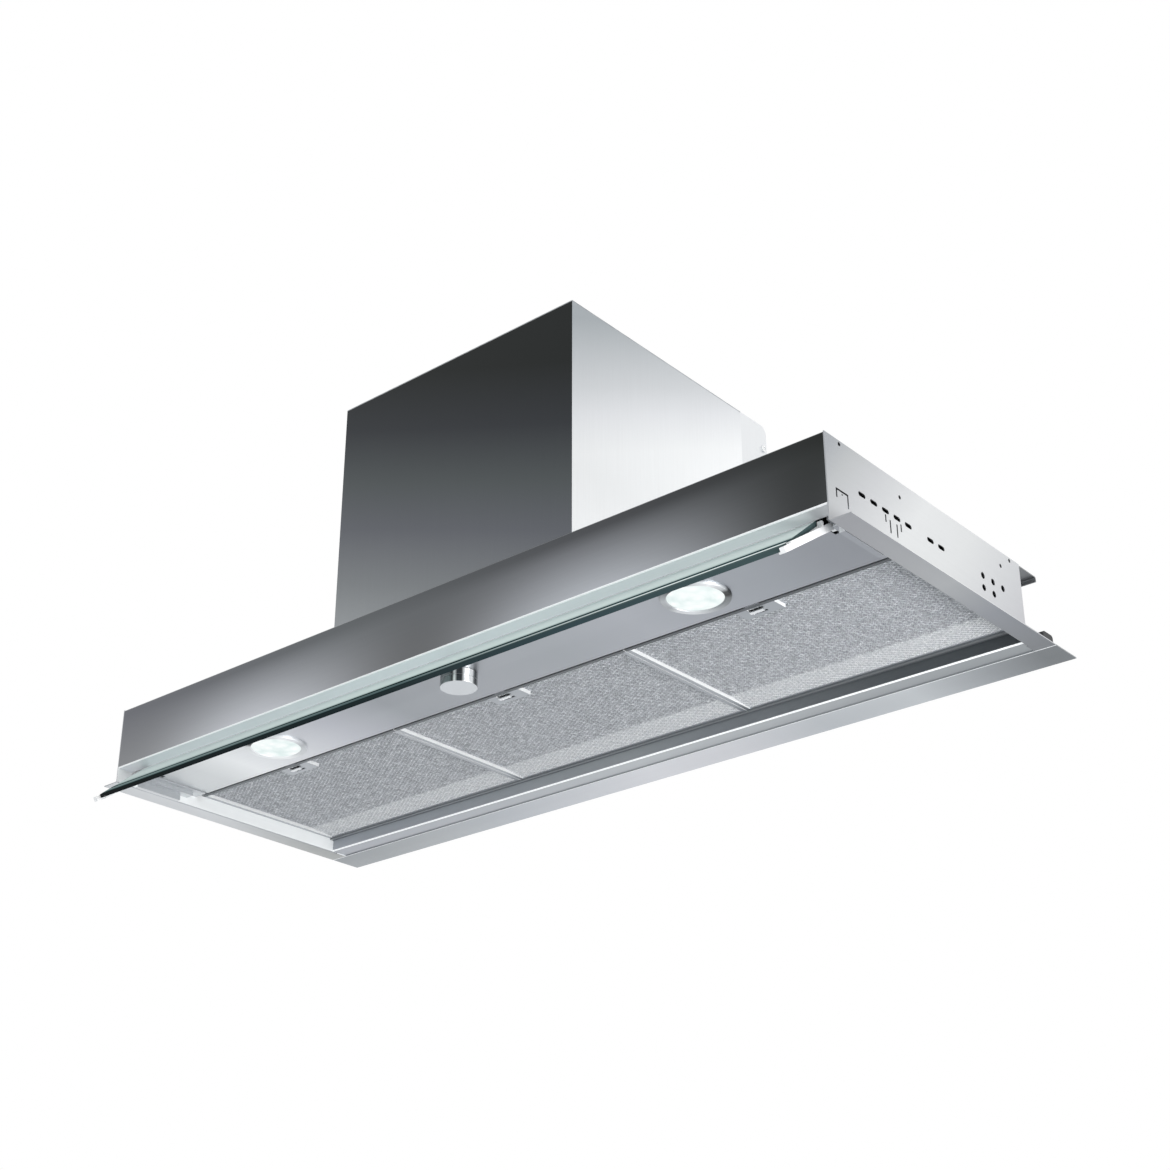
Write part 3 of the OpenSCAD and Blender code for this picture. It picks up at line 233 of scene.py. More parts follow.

# %% [markdown]
# ## Satin sheet steel
# Stainless sheet is cold rolled and brushed. Its fine lines are noise stretched some forty times along
# the rolling direction, and it mirrors the studio softly. The studio, dark in front and bright at the
# right, is also painted into the colour: each facing direction gets a painted reflection tone, a colour
# ramp along a straight line through the sheet, whose stops are given in metres along that line. A look
# may keep to a strip of the sheet, such as a painted highlight along a bend, and it may be matter than
# the rest.
# An image could give the brushing too. Noise stays sharp close up and needs no unwrapping.

# %% satin steel
def facing_weight(tree, normal, direction, start=0.75, end=0.95):
    """0 to 1 as the surface turns towards direction: smoothstep of the cosine between them."""
    cosine = add(tree, "VectorMath", [normal, direction], operation="DOT_PRODUCT")
    return add(tree, "MapRange", [cosine, start, end], interpolation_type="SMOOTHSTEP")


def line_tone(tree, point, direction, stops):
    """Tone along a straight line. Each stop is (point . direction in metres, colour), rising."""
    first, last = stops[0][0], stops[-1][0]
    along = add(tree, "VectorMath", [point, direction], operation="DOT_PRODUCT")
    t = add(tree, "MapRange", [along, first, last])
    return add(tree, "ValToRGB", [t], [((place - first) / (last - first), code) for place, code in stops])


def look(facing, line, stops, shade=1.0, metal=None, edge=(0.75, 0.95), strip=None):
    """The painted light and shade of the sheet where it faces one way. stops is a list for line_tone,
    or a function of (tree, point), and gives the tones to be seen. shade is the share of the studio's
    light that reaches the place, above 1 where a soft box adds to it, and the tone is divided by it.
    metal is the metallic value there, edge the two cosines between which the look fades in, and strip
    (direction, low, high) in metres keeps the look between low and high."""
    return dict(facing=facing, line=line, stops=stops, shade=shade, metal=metal, edge=edge, strip=strip)


def satin(name, base, looks=(), brush=(12, 500, 500), rough=0.34, metal=0.9, bump=0.05):
    """Brushed sheet. base is the tone of every side without a look of its own. brush holds the
    grain's scale per axis."""
    material, tree = new_material(name)
    coords = add(tree, "TexCoord").outputs
    point, normal = coords["Object"], coords["Normal"]
    tone, metallic = linear(base), metal
    # Each look mixes in its painted reflection tone where the sheet faces its way.
    for each in looks:
        weight = facing_weight(tree, normal, each["facing"], *each["edge"])
        if each["strip"]:
            direction, near, far = each["strip"]
            along = add(tree, "VectorMath", [point, direction], operation="DOT_PRODUCT")
            inside = add(tree, "Math", [along, (near + far) / 2, (far - near) / 2], operation="COMPARE")
            weight = add(tree, "Math", [weight, inside], operation="MULTIPLY")
        if callable(each["stops"]):
            own = each["stops"](tree, point)
        else:
            own = line_tone(tree, point, each["line"], each["stops"])
        if each["shade"] != 1.0:
            own = add(tree, "VectorMath", {0: own, "Scale": 1 / each["shade"]}, operation="SCALE")
        tone = add(tree, "Mix", {"Factor": weight, 6: tone, 7: own}, data_type="RGBA")
        if each["metal"] is not None:
            metallic = add(tree, "Mix", {"Factor": weight, 2: metallic, 3: each["metal"]})
    stretched = add(tree, "Mapping", {"Vector": point, "Scale": brush})
    grain = add(tree, "TexNoise", {"Vector": stretched, "Scale": 1.0, "Detail": 4.0, "Roughness": 0.6})
    cloud = add(tree, "TexNoise", {"Vector": point, "Scale": 9.0, "Detail": 2.0})
    fine = add(tree, "MapRange", [grain.outputs["Fac"], 0, 1, 0.955, 1.045])
    broad = add(tree, "MapRange", [cloud.outputs["Fac"], 0, 1, 0.985, 1.015])
    gain = add(tree, "Math", [fine, broad], operation="MULTIPLY")
    gained = add(tree, "Mix", {"Factor": 1.0, 6: tone, 7: gain}, data_type="RGBA",
                 blend_type="MULTIPLY")
    roughness = add(tree, "MapRange", [grain.outputs["Fac"], 0, 1, rough - 0.05, rough + 0.07])
    relief = add(tree, "Bump", {"Strength": bump, "Distance": 0.0002, "Height": grain.outputs["Fac"]})
    shader = add(tree, "BsdfPrincipled", {"Base Color": gained, "Metallic": metallic,
                                          "Roughness": roughness, "Anisotropic": 0.4, "Normal": relief})
    add(tree, "OutputMaterial", {"Surface": shader})
    return material


FRONT, RIGHT, BELOW, LEFT = (0, -1, 0), (1, 0, 0), (0, 0, -1), (-1, 0, 0)
CORNER, REAR = (0, -0.707, -0.707), (0, 1, 0)
ALONG_X, ALONG_Y = (1, 0, 0), (0, 1, 0)
print("satin steel ready")

# %% [markdown]
# ## Front panel
# The panel's colour holds a painted reflection of a dark wall above and, towards its lower edge, of
# two lighter patches of the floor that lie 420 mm apart: lobe = 1/2 + 1/2 cos(2 pi (x - 0.2) / 0.42).
# The two tones blend over its height, and painted shade dims the top edge. A painted highlight lies
# along the bend at its lower edge, and painted floor light on the lip below it. A modelled room could
# give the same, at the cost of lighting all the rest.

# %% front panel steel
LOBE_X, LOBE_PITCH = 0.2, 0.42


def front_reflection_tone(tree, point):
    """Painted reflection: an upper and a lower tone, each a ramp along X, blended by height."""
    parts = add(tree, "SeparateXYZ", {0: point}).outputs
    upper = line_tone(tree, point, ALONG_X, [(-0.43, "#6c6e74"), (-0.1, "#666a6d"), (0.18, "#57595d"),
                                             (0.43, "#2d302f")])
    dim = line_tone(tree, point, ALONG_X, [(-0.43, "#85878a"), (0.43, "#393b3c")])
    bright = line_tone(tree, point, ALONG_X, [(-0.22, "#bcbfc5"), (0.2, "#adb1b7")])
    turn = add(tree, "Math", [parts["X"], 2 * math.pi / LOBE_PITCH, -2 * math.pi * LOBE_X / LOBE_PITCH],
               operation="MULTIPLY_ADD")
    cosine = add(tree, "Math", [turn], operation="COSINE")
    lobe = add(tree, "Math", [cosine, 0.5, 0.5], operation="MULTIPLY_ADD")
    lower = add(tree, "Mix", {"Factor": lobe, 6: dim, 7: bright}, data_type="RGBA")
    height = add(tree, "MapRange", [parts["Z"], 0.070, 0.015])
    body = add(tree, "Mix", {"Factor": height, 6: upper, 7: lower}, data_type="RGBA")
    # Painted shade along the top edge, deeper towards the right.
    dimmed = add(tree, "MapRange", [parts["X"], -0.25, 0.05, 0.95, 0.75])
    top_edge_shade = add(tree, "MapRange", [parts["Z"], 0.058, 0.077, 1.0, dimmed])
    return add(tree, "VectorMath", {0: body, "Scale": top_edge_shade}, operation="SCALE")


steel_front = satin("satin_steel_front", "#8d9194", [
    look(FRONT, None, front_reflection_tone),
    # Below: painted floor light on the lip. Corner: a painted highlight along the bend.
    look(BELOW, ALONG_X, [(-0.43, "#afb2b5"), (0.0, "#b6b9bc"), (0.43, "#a1a3a5")], shade=0.6,
         metal=0.05),
    look(CORNER, ALONG_X, [(-0.43, "#e9ebec"), (0.43, "#f2f3f4")], shade=0.8, metal=0.3,
         edge=(0.9, 0.98)),
])
print("front panel steel ready")

# %% [markdown]
# ## Motor box, side panels, flange and recess
# The same sheet in other places, with painted light and shade: tones rise towards the side that faces
# the light, and the recess gets painted shade, with tones set for a place that only part of the
# studio's light reaches. One finish for every sheet would be shorter, but each sheet is brushed along
# its own length and faces its own way.

# %% steel of the other sheets
# Painted light: tones for the outer side faces, brightest where they face the light.
box_right = [(-0.414, "#999fa3"), (-0.347, "#c4c7ca"), (-0.32, "#d8dadd"), (-0.284, "#ebedee"),
             (-0.22, "#f8fafb")]
side_right = [(-0.39, "#b0b4b9"), (-0.36, "#c4c7c9"), (-0.32, "#d4d6d9"), (-0.25, "#eef0f1"),
              (-0.18, "#e9ebec"), (-0.1, "#d8dadd"), (-0.06, "#cfd0d4")]
steel_box = satin("satin_steel_motor_box", "#b4b7ba", [
    # Painted reflection: the front is dark high up and to the right, lighter low down.
    look(FRONT, (-0.35, 0, -1), [
        (-0.325, "#212424"), (-0.26, "#33363a"), (-0.2, "#4f5456"), (-0.15, "#606369"), (-0.09, "#7c8083"),
        (-0.03, "#9a9ea1")]),
    # Painted light on the sides, paler lower down.
    look(RIGHT, (0, 0.42, -0.9), box_right, metal=0.5),
    look(LEFT, (0, 0.42, -0.9), box_right, metal=0.5),
], brush=(500, 500, 12))
steel_cover = satin("satin_steel_rear_cover", "#a8abae", [
    # Painted light on the sides; the rear gets a painted reflection, darker high up.
    look(RIGHT, (0, 0, -1), [(-0.34, "#dcdee0"), (-0.08, "#e9ebec")], metal=0.5),
    look(LEFT, (0, 0, -1), [(-0.34, "#dcdee0"), (-0.08, "#e9ebec")], metal=0.5),
    look(REAR, (0.35, 0, -1), [(-0.39, "#8b8f92"), (-0.2, "#a9adb0"), (-0.03, "#c3c6c9")]),
], brush=(500, 500, 12))
steel_side = satin("satin_steel_right_side", "#a2a5a9", [
    # Painted light on the outer face; below, painted light and shade along the underside.
    look(RIGHT, (0, 1, -0.9), side_right, shade=1.42, metal=0.55),
    look(BELOW, ALONG_Y, [(-0.32, "#9d9ea2"), (-0.18, "#aeb0b2"), (-0.11, "#909399"), (-0.025, "#7a7d81")]),
], brush=(500, 12, 500))
steel_left = satin("satin_steel_left_side", "#a2a5a9", [
    look(LEFT, (0, 1, -0.9), side_right, metal=0.55),
    # Painted light: the inner face is painted near white, with no metal, and the low soft box also lights
    # it.
    look(RIGHT, ALONG_Y, [(-0.33, "#fbfdfd"), (-0.03, "#fbfdfd")], metal=0.0),
    look(BELOW, ALONG_Y, [(-0.2, "#d0d2d4"), (-0.06, "#aaacab")]),
], brush=(500, 12, 500))
steel_flange = satin("satin_steel_rear_flange", "#a4a7aa", [
    # Painted light along the underside, palest in the middle.
    look(BELOW, ALONG_X, [
        (-0.4, "#9fa3a6"), (-0.3, "#adb1b4"), (-0.2, "#b7bbc0"), (0.0, "#d6d7db"), (0.1, "#cecfd3"),
        (0.2, "#b9bdc1"), (0.3, "#c2c6c9"), (0.38, "#95999d"), (0.43, "#767a7d")]),
    # Painted highlight: a bright line along the strip's front edge.
    look(BELOW, ALONG_X, [(-0.43, "#f4f5f6"), (0.43, "#eceeef")], metal=0.2,
         strip=(ALONG_Y, -0.0195, -0.0176)),
])
steel_rear_wall = satin("satin_steel_rear_wall", "#9a9da0", [
    # Painted shade: the front face darkens towards the right.
    look(FRONT, ALONG_X, [
        (-0.4, "#8e9298"), (0.0, "#84888b"), (0.1, "#72767a"), (0.2, "#5f6366"), (0.3, "#464a4d"),
        (0.4, "#373b3e")], shade=0.7, metal=0.2),
    look(BELOW, ALONG_X, [(-0.4, "#aeb1b7"), (0.0, "#b7bbbe"), (0.4, "#989c9f")]),
    # Painted highlight along the bend at the wall's foot.
    look(CORNER, ALONG_X, [(-0.43, "#f6f7f7"), (0.43, "#f0f2f2")], shade=0.8, metal=0.2, edge=(0.88, 0.97)),
])
steel_panel = satin("satin_steel_lamp_panel", "#96999d", [
    # Painted reflection along the underside, brightest near the left end.
    look(BELOW, ALONG_X, [
        (-0.37, "#d3d6d7"), (-0.32, "#ebedee"), (-0.18, "#bbbdc4"), (-0.1, "#9a9ea3"), (0.0, "#a3a6ab"),
        (0.1, "#a3a7ac"), (0.19, "#adb0b6"), (0.33, "#9ca0a6"), (0.38, "#92959b")]),
])
steel_bracket = satin("satin_steel_end_brackets", "#9a9da1", [
    # Painted light and shade on the sides, the underside and the front.
    look(RIGHT, ALONG_Y, [(-0.31, "#a4a7ab"), (-0.23, "#aeb1b4")], shade=0.9, metal=0.3),
    look(LEFT, ALONG_Y, [(-0.31, "#b9bcbf"), (-0.23, "#c4c7ca")], shade=0.7, metal=0.3),
    look(BELOW, ALONG_X, [(-0.43, "#d6d8da"), (0.43, "#999ca2")]),
    look(FRONT, ALONG_X, [(-0.43, "#f2f4f4"), (0.43, "#b9bcbf")], shade=0.7, metal=0.3),
], brush=(500, 20, 500))
steel_top = satin("satin_steel_top_panel", "#b3b6b9", [
    # Painted shade on the underside, darker at the left.
    look(BELOW, ALONG_X, [(-0.43, "#606264"), (0.4, "#7a7c7e")]),
    look(RIGHT, ALONG_Y, [(-0.03, "#929496"), (0.0, "#929496")]),
])
print("steel sheets:", len([m for m in bpy.data.materials if m.name.startswith("satin")]))

# %% [markdown]
# ## Other finishes
# Zinc coating shows large flat crystals, so its tone comes from Voronoi cells. Bright steel and
# chrome get painted reflections: dark and light bands from the direction they face, as under strip lights.
# Moulded plastic has a fine pebble grain. A plain colour would do for small pieces, but it makes the
# larger ones look flat.

# %% other finishes
def zinc(name, dark="#8b8e92", light="#aeb1b4"):
    """Hot-dip zinc: Voronoi crystals 6 to 9 mm across, each with its own tone."""
    material, tree = new_material(name)
    point = add(tree, "TexCoord").outputs["Object"]
    cells = add(tree, "TexVoronoi", {"Vector": point, "Scale": 130.0})
    tone = add(tree, "Mix", {"Factor": cells.outputs["Color"], 6: linear(dark), 7: linear(light)},
               data_type="RGBA")
    grain = add(tree, "TexNoise", {"Vector": point, "Scale": 900.0})
    rough = add(tree, "MapRange", [grain.outputs["Fac"], 0, 1, 0.38, 0.55])
    shader = add(tree, "BsdfPrincipled", {"Base Color": tone, "Metallic": 0.85, "Roughness": rough})
    add(tree, "OutputMaterial", {"Surface": shader})
    return material


def moulded(name, code, rough=0.5, grain_scale=1400.0, spread=0.12):
    """Moulded, cast or painted surface with a pebble grain and slightly uneven gloss."""
    material, tree = new_material(name)
    point = add(tree, "TexCoord").outputs["Object"]
    pebble = add(tree, "TexVoronoi", {"Vector": point, "Scale": grain_scale})
    cloud = add(tree, "TexNoise", {"Vector": point, "Scale": 40.0, "Detail": 3.0})
    base = linear(code)
    lighter = [min(1.0, c * (1 + spread) + 0.004) for c in base[:3]] + [1.0]
    tone = add(tree, "Mix", {"Factor": cloud.outputs["Fac"], 6: base, 7: lighter}, data_type="RGBA")
    relief = add(tree, "Bump", {"Strength": 0.12, "Distance": 0.0002, "Height": pebble.outputs["Distance"]})
    gloss = add(tree, "MapRange", [cloud.outputs["Fac"], 0, 1, rough - 0.06, rough + 0.08])
    shader = add(tree, "BsdfPrincipled", {"Base Color": tone, "Roughness": gloss, "Normal": relief})
    add(tree, "OutputMaterial", {"Surface": shader})
    return material


def scuffed(tree, point, rough):
    """Roughness of a polished face that fine wiping marks make uneven."""
    scuff = add(tree, "TexNoise", {"Vector": point, "Scale": 260.0, "Detail": 4.0})
    return add(tree, "MapRange", [scuff.outputs["Fac"], 0, 1, rough * 0.7, rough * 1.5])


def banded_metal(name, bands, flat, rough=0.12, metal=1.0, axis=(0.91, -0.41, 0.0)):
    """Polished metal with painted reflections. The sides take their tone from bands over the cosine
    between the surface's normal and a level axis, and the faces that look down take the flat tone."""
    material, tree = new_material(name)
    coords = add(tree, "TexCoord").outputs
    point, normal = coords["Object"], coords["Normal"]
    # Painted reflection: the tone follows the direction the face looks.
    cosine = add(tree, "VectorMath", [normal, axis], operation="DOT_PRODUCT")
    t = add(tree, "Math", [cosine, 0.5, 0.5], operation="MULTIPLY_ADD")
    side = add(tree, "ValToRGB", [t], bands)
    down = facing_weight(tree, normal, BELOW, 0.6, 0.9)
    tone = add(tree, "Mix", {"Factor": down, 6: side, 7: linear(flat)}, data_type="RGBA")
    shader = add(tree, "BsdfPrincipled", {"Base Color": tone, "Metallic": metal,
                                          "Roughness": scuffed(tree, point, rough)})
    add(tree, "OutputMaterial", {"Surface": shader})
    return material


zinc_sheet = zinc("zinc_sheet")
zinc_fan = zinc("zinc_fan_wheel", "#7f8286", "#a4a7aa")
# Painted reflection bands of the bright steel, the visor arms and the latches.
bright_steel = banded_metal("bright_steel", [
    (0.0, "#8e9194"), (0.35, "#a4a7aa"), (0.6, "#e6e8e9"), (1.0, "#fbfcfc")], "#c9cccf", rough=0.25)
arm_steel = banded_metal("visor_arm_steel", [
    (0.0, "#b9bcbe"), (0.4, "#dfe1e2"), (0.75, "#fafbfb"), (1.0, "#ffffff")], "#e4e6e7", rough=0.3,
    metal=0.25, axis=(1.0, 0.0, 0.0))
latch_steel = banded_metal("latch_steel", [
    (0.0, "#a4a7aa"), (0.5, "#dfe1e2"), (1.0, "#fbfcfc")], "#e4e6e8", rough=0.25)
black_plastic = moulded("black_moulding", "#17181a")
grey_plastic = moulded("grey_moulding", "#8d9092")
white_plastic = moulded("white_moulding", "#e4e4e0", rough=0.35)
motor_paint = moulded("motor_stoving_paint", "#26282b", rough=0.38, grain_scale=700.0)
print("finishes:", len(bpy.data.materials))

# %% [markdown]
# ## Chrome of the lamp rings and the knob
# A polished ring mirrors the whole room in a few degrees, so round its circle it shows bright and
# nearly black stretches with sharp ends. These are painted reflections: the tone is a ramp over the
# angle round the ring's own axis, a = atan2(y - cy, x - cx), from -180 to 180 degrees. A bare mirror
# would show only the white studio.

# %% turned chrome
def turned_chrome(name, centre, stops, flat=None, rough=0.12):
    """Polished round piece with a painted reflection. stops is (degrees round the axis, colour), from
    -180 to 180; flat is the painted tone of faces that look down, or None where the stops hold for them too."""
    material, tree = new_material(name)
    coords = add(tree, "TexCoord").outputs
    point, normal = coords["Object"], coords["Normal"]
    arm = add(tree, "VectorMath", {0: point, 1: (*centre, 0)}, operation="SUBTRACT")
    parts = add(tree, "SeparateXYZ", {0: arm}).outputs
    angle = add(tree, "Math", [parts["Y"], parts["X"]], operation="ARCTAN2")
    t = add(tree, "Math", [angle, 0.5 / math.pi, 0.5], operation="MULTIPLY_ADD")
    tone = add(tree, "ValToRGB", [t], [((degrees + 180) / 360, code) for degrees, code in stops])
    if flat:
        down = facing_weight(tree, normal, BELOW, 0.6, 0.9)
        tone = add(tree, "Mix", {"Factor": down, 6: tone, 7: linear(flat)}, data_type="RGBA")
    shader = add(tree, "BsdfPrincipled", {"Base Color": tone, "Metallic": 0.45,
                                          "Roughness": scuffed(tree, point, rough)})
    add(tree, "OutputMaterial", {"Surface": shader})
    return material


def ring_centre(node_name):
    lo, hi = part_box(node_name)
    return (lo.x + hi.x) / 2, (lo.y + hi.y) / 2


# Painted reflections round the rings and the knob: bright and nearly black stretches.
ring_left_side = [
    (-180, "#eceeef"), (-130, "#dcdedf"), (-118, "#2c2f31"), (-100, "#383c3e"), (-78, "#2a2d2f"),
    (-62, "#c9cbcd"), (-30, "#f4f5f6"), (0, "#e2e4e6"), (22, "#b4b7ba"), (45, "#c9cccf"),
    (75, "#d3d5d7"), (110, "#f2f3f4"), (180, "#eceeef")]
ring_right_side = [
    (-180, "#9fa2a5"), (-150, "#aeb1b4"), (-128, "#8d9093"), (-110, "#4a4e51"), (-80, "#54585b"),
    (-62, "#c4c6c8"), (-30, "#eff0f1"), (0, "#b4b7b9"), (10, "#2a2d2f"), (24, "#141617"),
    (34, "#6a6e70"), (60, "#83878a"), (90, "#a9acaf"), (130, "#d6d8da"), (160, "#cfd1d3"),
    (180, "#9fa2a5")]
chrome_left = turned_chrome("lamp_ring_chrome_left", ring_centre("lamp_ring_left"), ring_left_side,
                            rough=0.34)
chrome_right = turned_chrome("lamp_ring_chrome_right", ring_centre("lamp_ring_right"), ring_right_side,
                             rough=0.34)
knob_sides = [
    (-180, "#c9ccce"), (-125, "#a4a8aa"), (-118, "#6f7476"), (-100, "#8a9091"), (-78, "#70787a"),
    (-66, "#2b2e30"), (-60, "#f0f1f1"), (-52, "#3a3e42"), (-38, "#3c4043"), (-30, "#f6f7f7"),
    (-2, "#fbfcfc"), (4, "#8f9394"), (12, "#26292b"), (22, "#5d6163"), (40, "#a9acae"),
    (180, "#c9ccce")]
knob_chrome = turned_chrome("knob_chrome", ring_centre("control_knob"), knob_sides, flat="#cbced1")
print("turned chrome ready")

# %% [markdown]
# ## Windings, bronze and aluminium
# Copper windings are fine rings round the motor's axis. Sintered bronze is speckled by its pores.
# The filter frames are folded aluminium strip, drawn lengthwise. The wire could be modelled turn by
# turn. Inside its housing a wave with a bump is enough.

# %% windings, bronze and aluminium
def windings():
    """Enamelled copper: rings 0.9 mm apart about the X axis."""
    material, tree = new_material("copper_windings")
    point = add(tree, "TexCoord").outputs["Object"]
    rings = add(tree, "TexWave", {"Vector": point, "Scale": 350.0, "Distortion": 0.6, "Detail": 2.0},
                bands_direction="X")
    tone = add(tree, "Mix", {"Factor": rings.outputs["Fac"], 6: linear("#6e3417"), 7: linear("#b8652f")},
               data_type="RGBA")
    relief = add(tree, "Bump", {"Strength": 0.5, "Distance": 0.0004, "Height": rings.outputs["Fac"]})
    shader = add(tree, "BsdfPrincipled", {"Base Color": tone, "Metallic": 0.7, "Roughness": 0.35,
                                          "Normal": relief})
    add(tree, "OutputMaterial", {"Surface": shader})
    return material


def sintered():
    """Oiled sintered bronze with dark pores."""
    material, tree = new_material("sintered_bronze")
    point = add(tree, "TexCoord").outputs["Object"]
    pores = add(tree, "TexNoise", {"Vector": point, "Scale": 2500.0, "Detail": 1.0})
    tone = add(tree, "ValToRGB", [pores.outputs["Fac"]], [
        (0.35, "#5d4320"), (0.5, "#a67c3c"), (1.0, "#c39a57")])
    shader = add(tree, "BsdfPrincipled", {"Base Color": tone, "Metallic": 0.9, "Roughness": 0.4})
    add(tree, "OutputMaterial", {"Surface": shader})
    return material


copper = windings()
bronze = sintered()
filter_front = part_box("filter_frame_middle")[0].y
frame_aluminium = satin("satin_aluminium_filter_frames", "#b9bcc0", [
    # Painted light on the faces that look right and left.
    look(RIGHT, ALONG_Y, [(-0.23, "#fbfcfc"), (-0.04, "#fbfcfc")], metal=0.15),
    look(LEFT, ALONG_Y, [(-0.23, "#d9dbde"), (-0.04, "#d9dbde")], metal=0.3),
    # Below: painted light, lighter at the left, and painted shade in a dark line along the front rim.
    look(BELOW, ALONG_X, [(-0.43, "#b9bcc0"), (0.43, "#9fa3a8")]),
    look(BELOW, ALONG_X, [(-0.43, "#74787b"), (0.43, "#55585c")],
         strip=(ALONG_Y, filter_front - 0.001, filter_front + 0.004)),
], brush=(300, 20, 300), rough=0.4)
rail_zinc = satin("zinc_coated_rail", "#8f9396", [
    # Painted light and shade along the underside: a light line on the front lip, darker behind it.
    look(BELOW, ALONG_Y, [(-0.0430, "#94989b"), (-0.0415, "#aeb2b5"), (-0.0400, "#7d8184"),
                          (-0.0380, "#7a7e81")]),
], brush=(20, 300, 300), rough=0.45, metal=0.7)
cast_aluminium = moulded("cast_aluminium", "#a6a9ac", rough=0.45, grain_scale=900.0)
print("windings, bronze and aluminium ready")

# %% [markdown]
# ## Finishes for the frame's own pieces
# Each carried-over piece keeps its shape and takes its real finish. They could be set one by one. A
# table shows at a glance which pieces share one.

# %% finishes for the frame's own pieces
finish_of = {
    "front_panel": steel_front, "side_panel_left": steel_left, "side_panel_right": steel_side,
    "top_panel": steel_top, "rear_wall": steel_rear_wall, "rear_flange": steel_flange,
    "flange_spacers": black_plastic, "end_bracket_left": steel_bracket, "end_bracket_right": steel_bracket,
    "filter_rear_rail": rail_zinc, "motor_box_shell": steel_box, "motor_box_cover": steel_cover,
    "motor_box_top": zinc_sheet, "duct_collar": black_plastic, "flap_left": grey_plastic,
    "flap_right": grey_plastic, "flap_pin": bright_steel, "scroll_left": zinc_sheet,
    "scroll_right": zinc_sheet, "fan_wheel_left": zinc_fan,
    "fan_wheel_right": zinc_fan, "fan_hub_disc": zinc_fan, "motor_shaft": bright_steel,
    "rotor_core": cast_aluminium, "motor_housing": motor_paint, "motor_end_cap": motor_paint,
    "stator": copper, "bush_front": bronze, "bush_rear": bronze, "motor_bracket": zinc_sheet,
    "run_capacitor": white_plastic, "connection_box": black_plastic, "connection_box_lid": black_plastic,
    "terminal_block": white_plastic, "cable_gland": black_plastic, "lamp_driver": white_plastic,
    "lamp_panel": steel_panel, "lamp_ring_left": chrome_left, "lamp_ring_right": chrome_right,
    "lamp_housing_left": cast_aluminium, "lamp_housing_right": cast_aluminium,
    "rotary_switch": black_plastic, "control_knob": knob_chrome, "knob_spindle": bright_steel,
    "visor_arm_left": arm_steel, "visor_arm_right": arm_steel, "visor_pins": bright_steel,
    "filter_frame_left": frame_aluminium, "filter_frame_middle": frame_aluminium,
    "filter_frame_right": frame_aluminium, "filter_latch_left": latch_steel,
    "filter_latch_middle": latch_steel, "filter_latch_right": latch_steel, "screws": bright_steel,
}
for node_name, finish in finish_of.items():
    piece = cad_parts[node_name]
    piece.data.materials.clear()
    piece.data.materials.append(finish)
print("finished nodes:", len(finish_of))

# %% [markdown]
# ## Expanded-metal filters
# Each filter shows a layer of expanded aluminium in front of a denser pad. A strand runs along X
# and zigzags, and its neighbours zigzag the other way, so they close into diamonds:
# y(j, k) = (j + 0.5) S/2 + (-1)^(j + k) S/4, x(k) = k L/2, for strand j and corner k.
# Each strand has a flat diamond section, and follows the pad's face down to the sloped rear band.
# The band turns towards the light, so its tone is painted paler. The real mesh is finer. It is drawn in
# diamonds of L = 6.4 mm by S = 4 mm, so that it still shows from a step away. A picture of mesh on a
# flat sheet would lose its depth from the side, so the front layer is made of strands.

# %% expanded metal
BAND, DROP = 0.032, 0.0024  # depth of the sloped rear band, and how far it falls
FOLD_FROM, FOLD_TO = -0.0005, 0.0025  # the fold, from where the band starts
band_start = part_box("filter_mesh_middle")[1].y - BAND


def banded(tree, point, level_tone, band_tone):
    """The level tone, and the band's painted paler tone behind the fold, which is 3 mm wide."""
    y = add(tree, "SeparateXYZ", {0: point}).outputs["Y"]
    share = add(tree, "MapRange", [y, band_start + FOLD_FROM, band_start + FOLD_TO])
    return add(tree, "Mix", {"Factor": share, 6: level_tone, 7: band_tone}, data_type="RGBA")


def woven_pad(name):
    """The denser layers behind: two crossed waves about 2 mm apart, with painted shade in the gaps."""
    material, tree = new_material(name)
    point = add(tree, "TexCoord").outputs["Object"]
    turned = add(tree, "Mapping", {"Vector": point, "Rotation": (0, 0, math.radians(24))})
    one = add(tree, "TexWave", {"Vector": turned, "Scale": 150.0, "Distortion": 0.15, "Detail": 1.0},
              bands_direction="X")
    two = add(tree, "TexWave", {"Vector": turned, "Scale": 190.0, "Distortion": 0.15, "Detail": 1.0},
              bands_direction="Y")
    both = add(tree, "Math", [one.outputs["Fac"], two.outputs["Fac"]], operation="MULTIPLY")
    speck = add(tree, "TexNoise", {"Vector": point, "Scale": 420.0, "Detail": 2.0})
    mixed_height = add(tree, "Math", [speck.outputs["Fac"], 0.5, both], operation="MULTIPLY_ADD")
    level = add(tree, "ValToRGB", [mixed_height], [
        (0.15, "#7c7f84"), (0.45, "#a2a5aa"), (0.8, "#c1c4c8"), (1.0, "#e0e2e4")])
    # Painted light: the sloped band's tones are lighter.
    slope = add(tree, "ValToRGB", [mixed_height], [
        (0.15, "#aeb1b5"), (0.45, "#cbcdd0"), (0.8, "#dee0e2"), (1.0, "#f0f1f2")])
    tone = banded(tree, point, level, slope)
    relief = add(tree, "Bump", {"Strength": 0.6, "Distance": 0.0006, "Height": mixed_height})
    shader = add(tree, "BsdfPrincipled", {"Base Color": tone, "Metallic": 0.2, "Roughness": 0.45,
                                          "Normal": relief})
    add(tree, "OutputMaterial", {"Surface": shader})
    return material


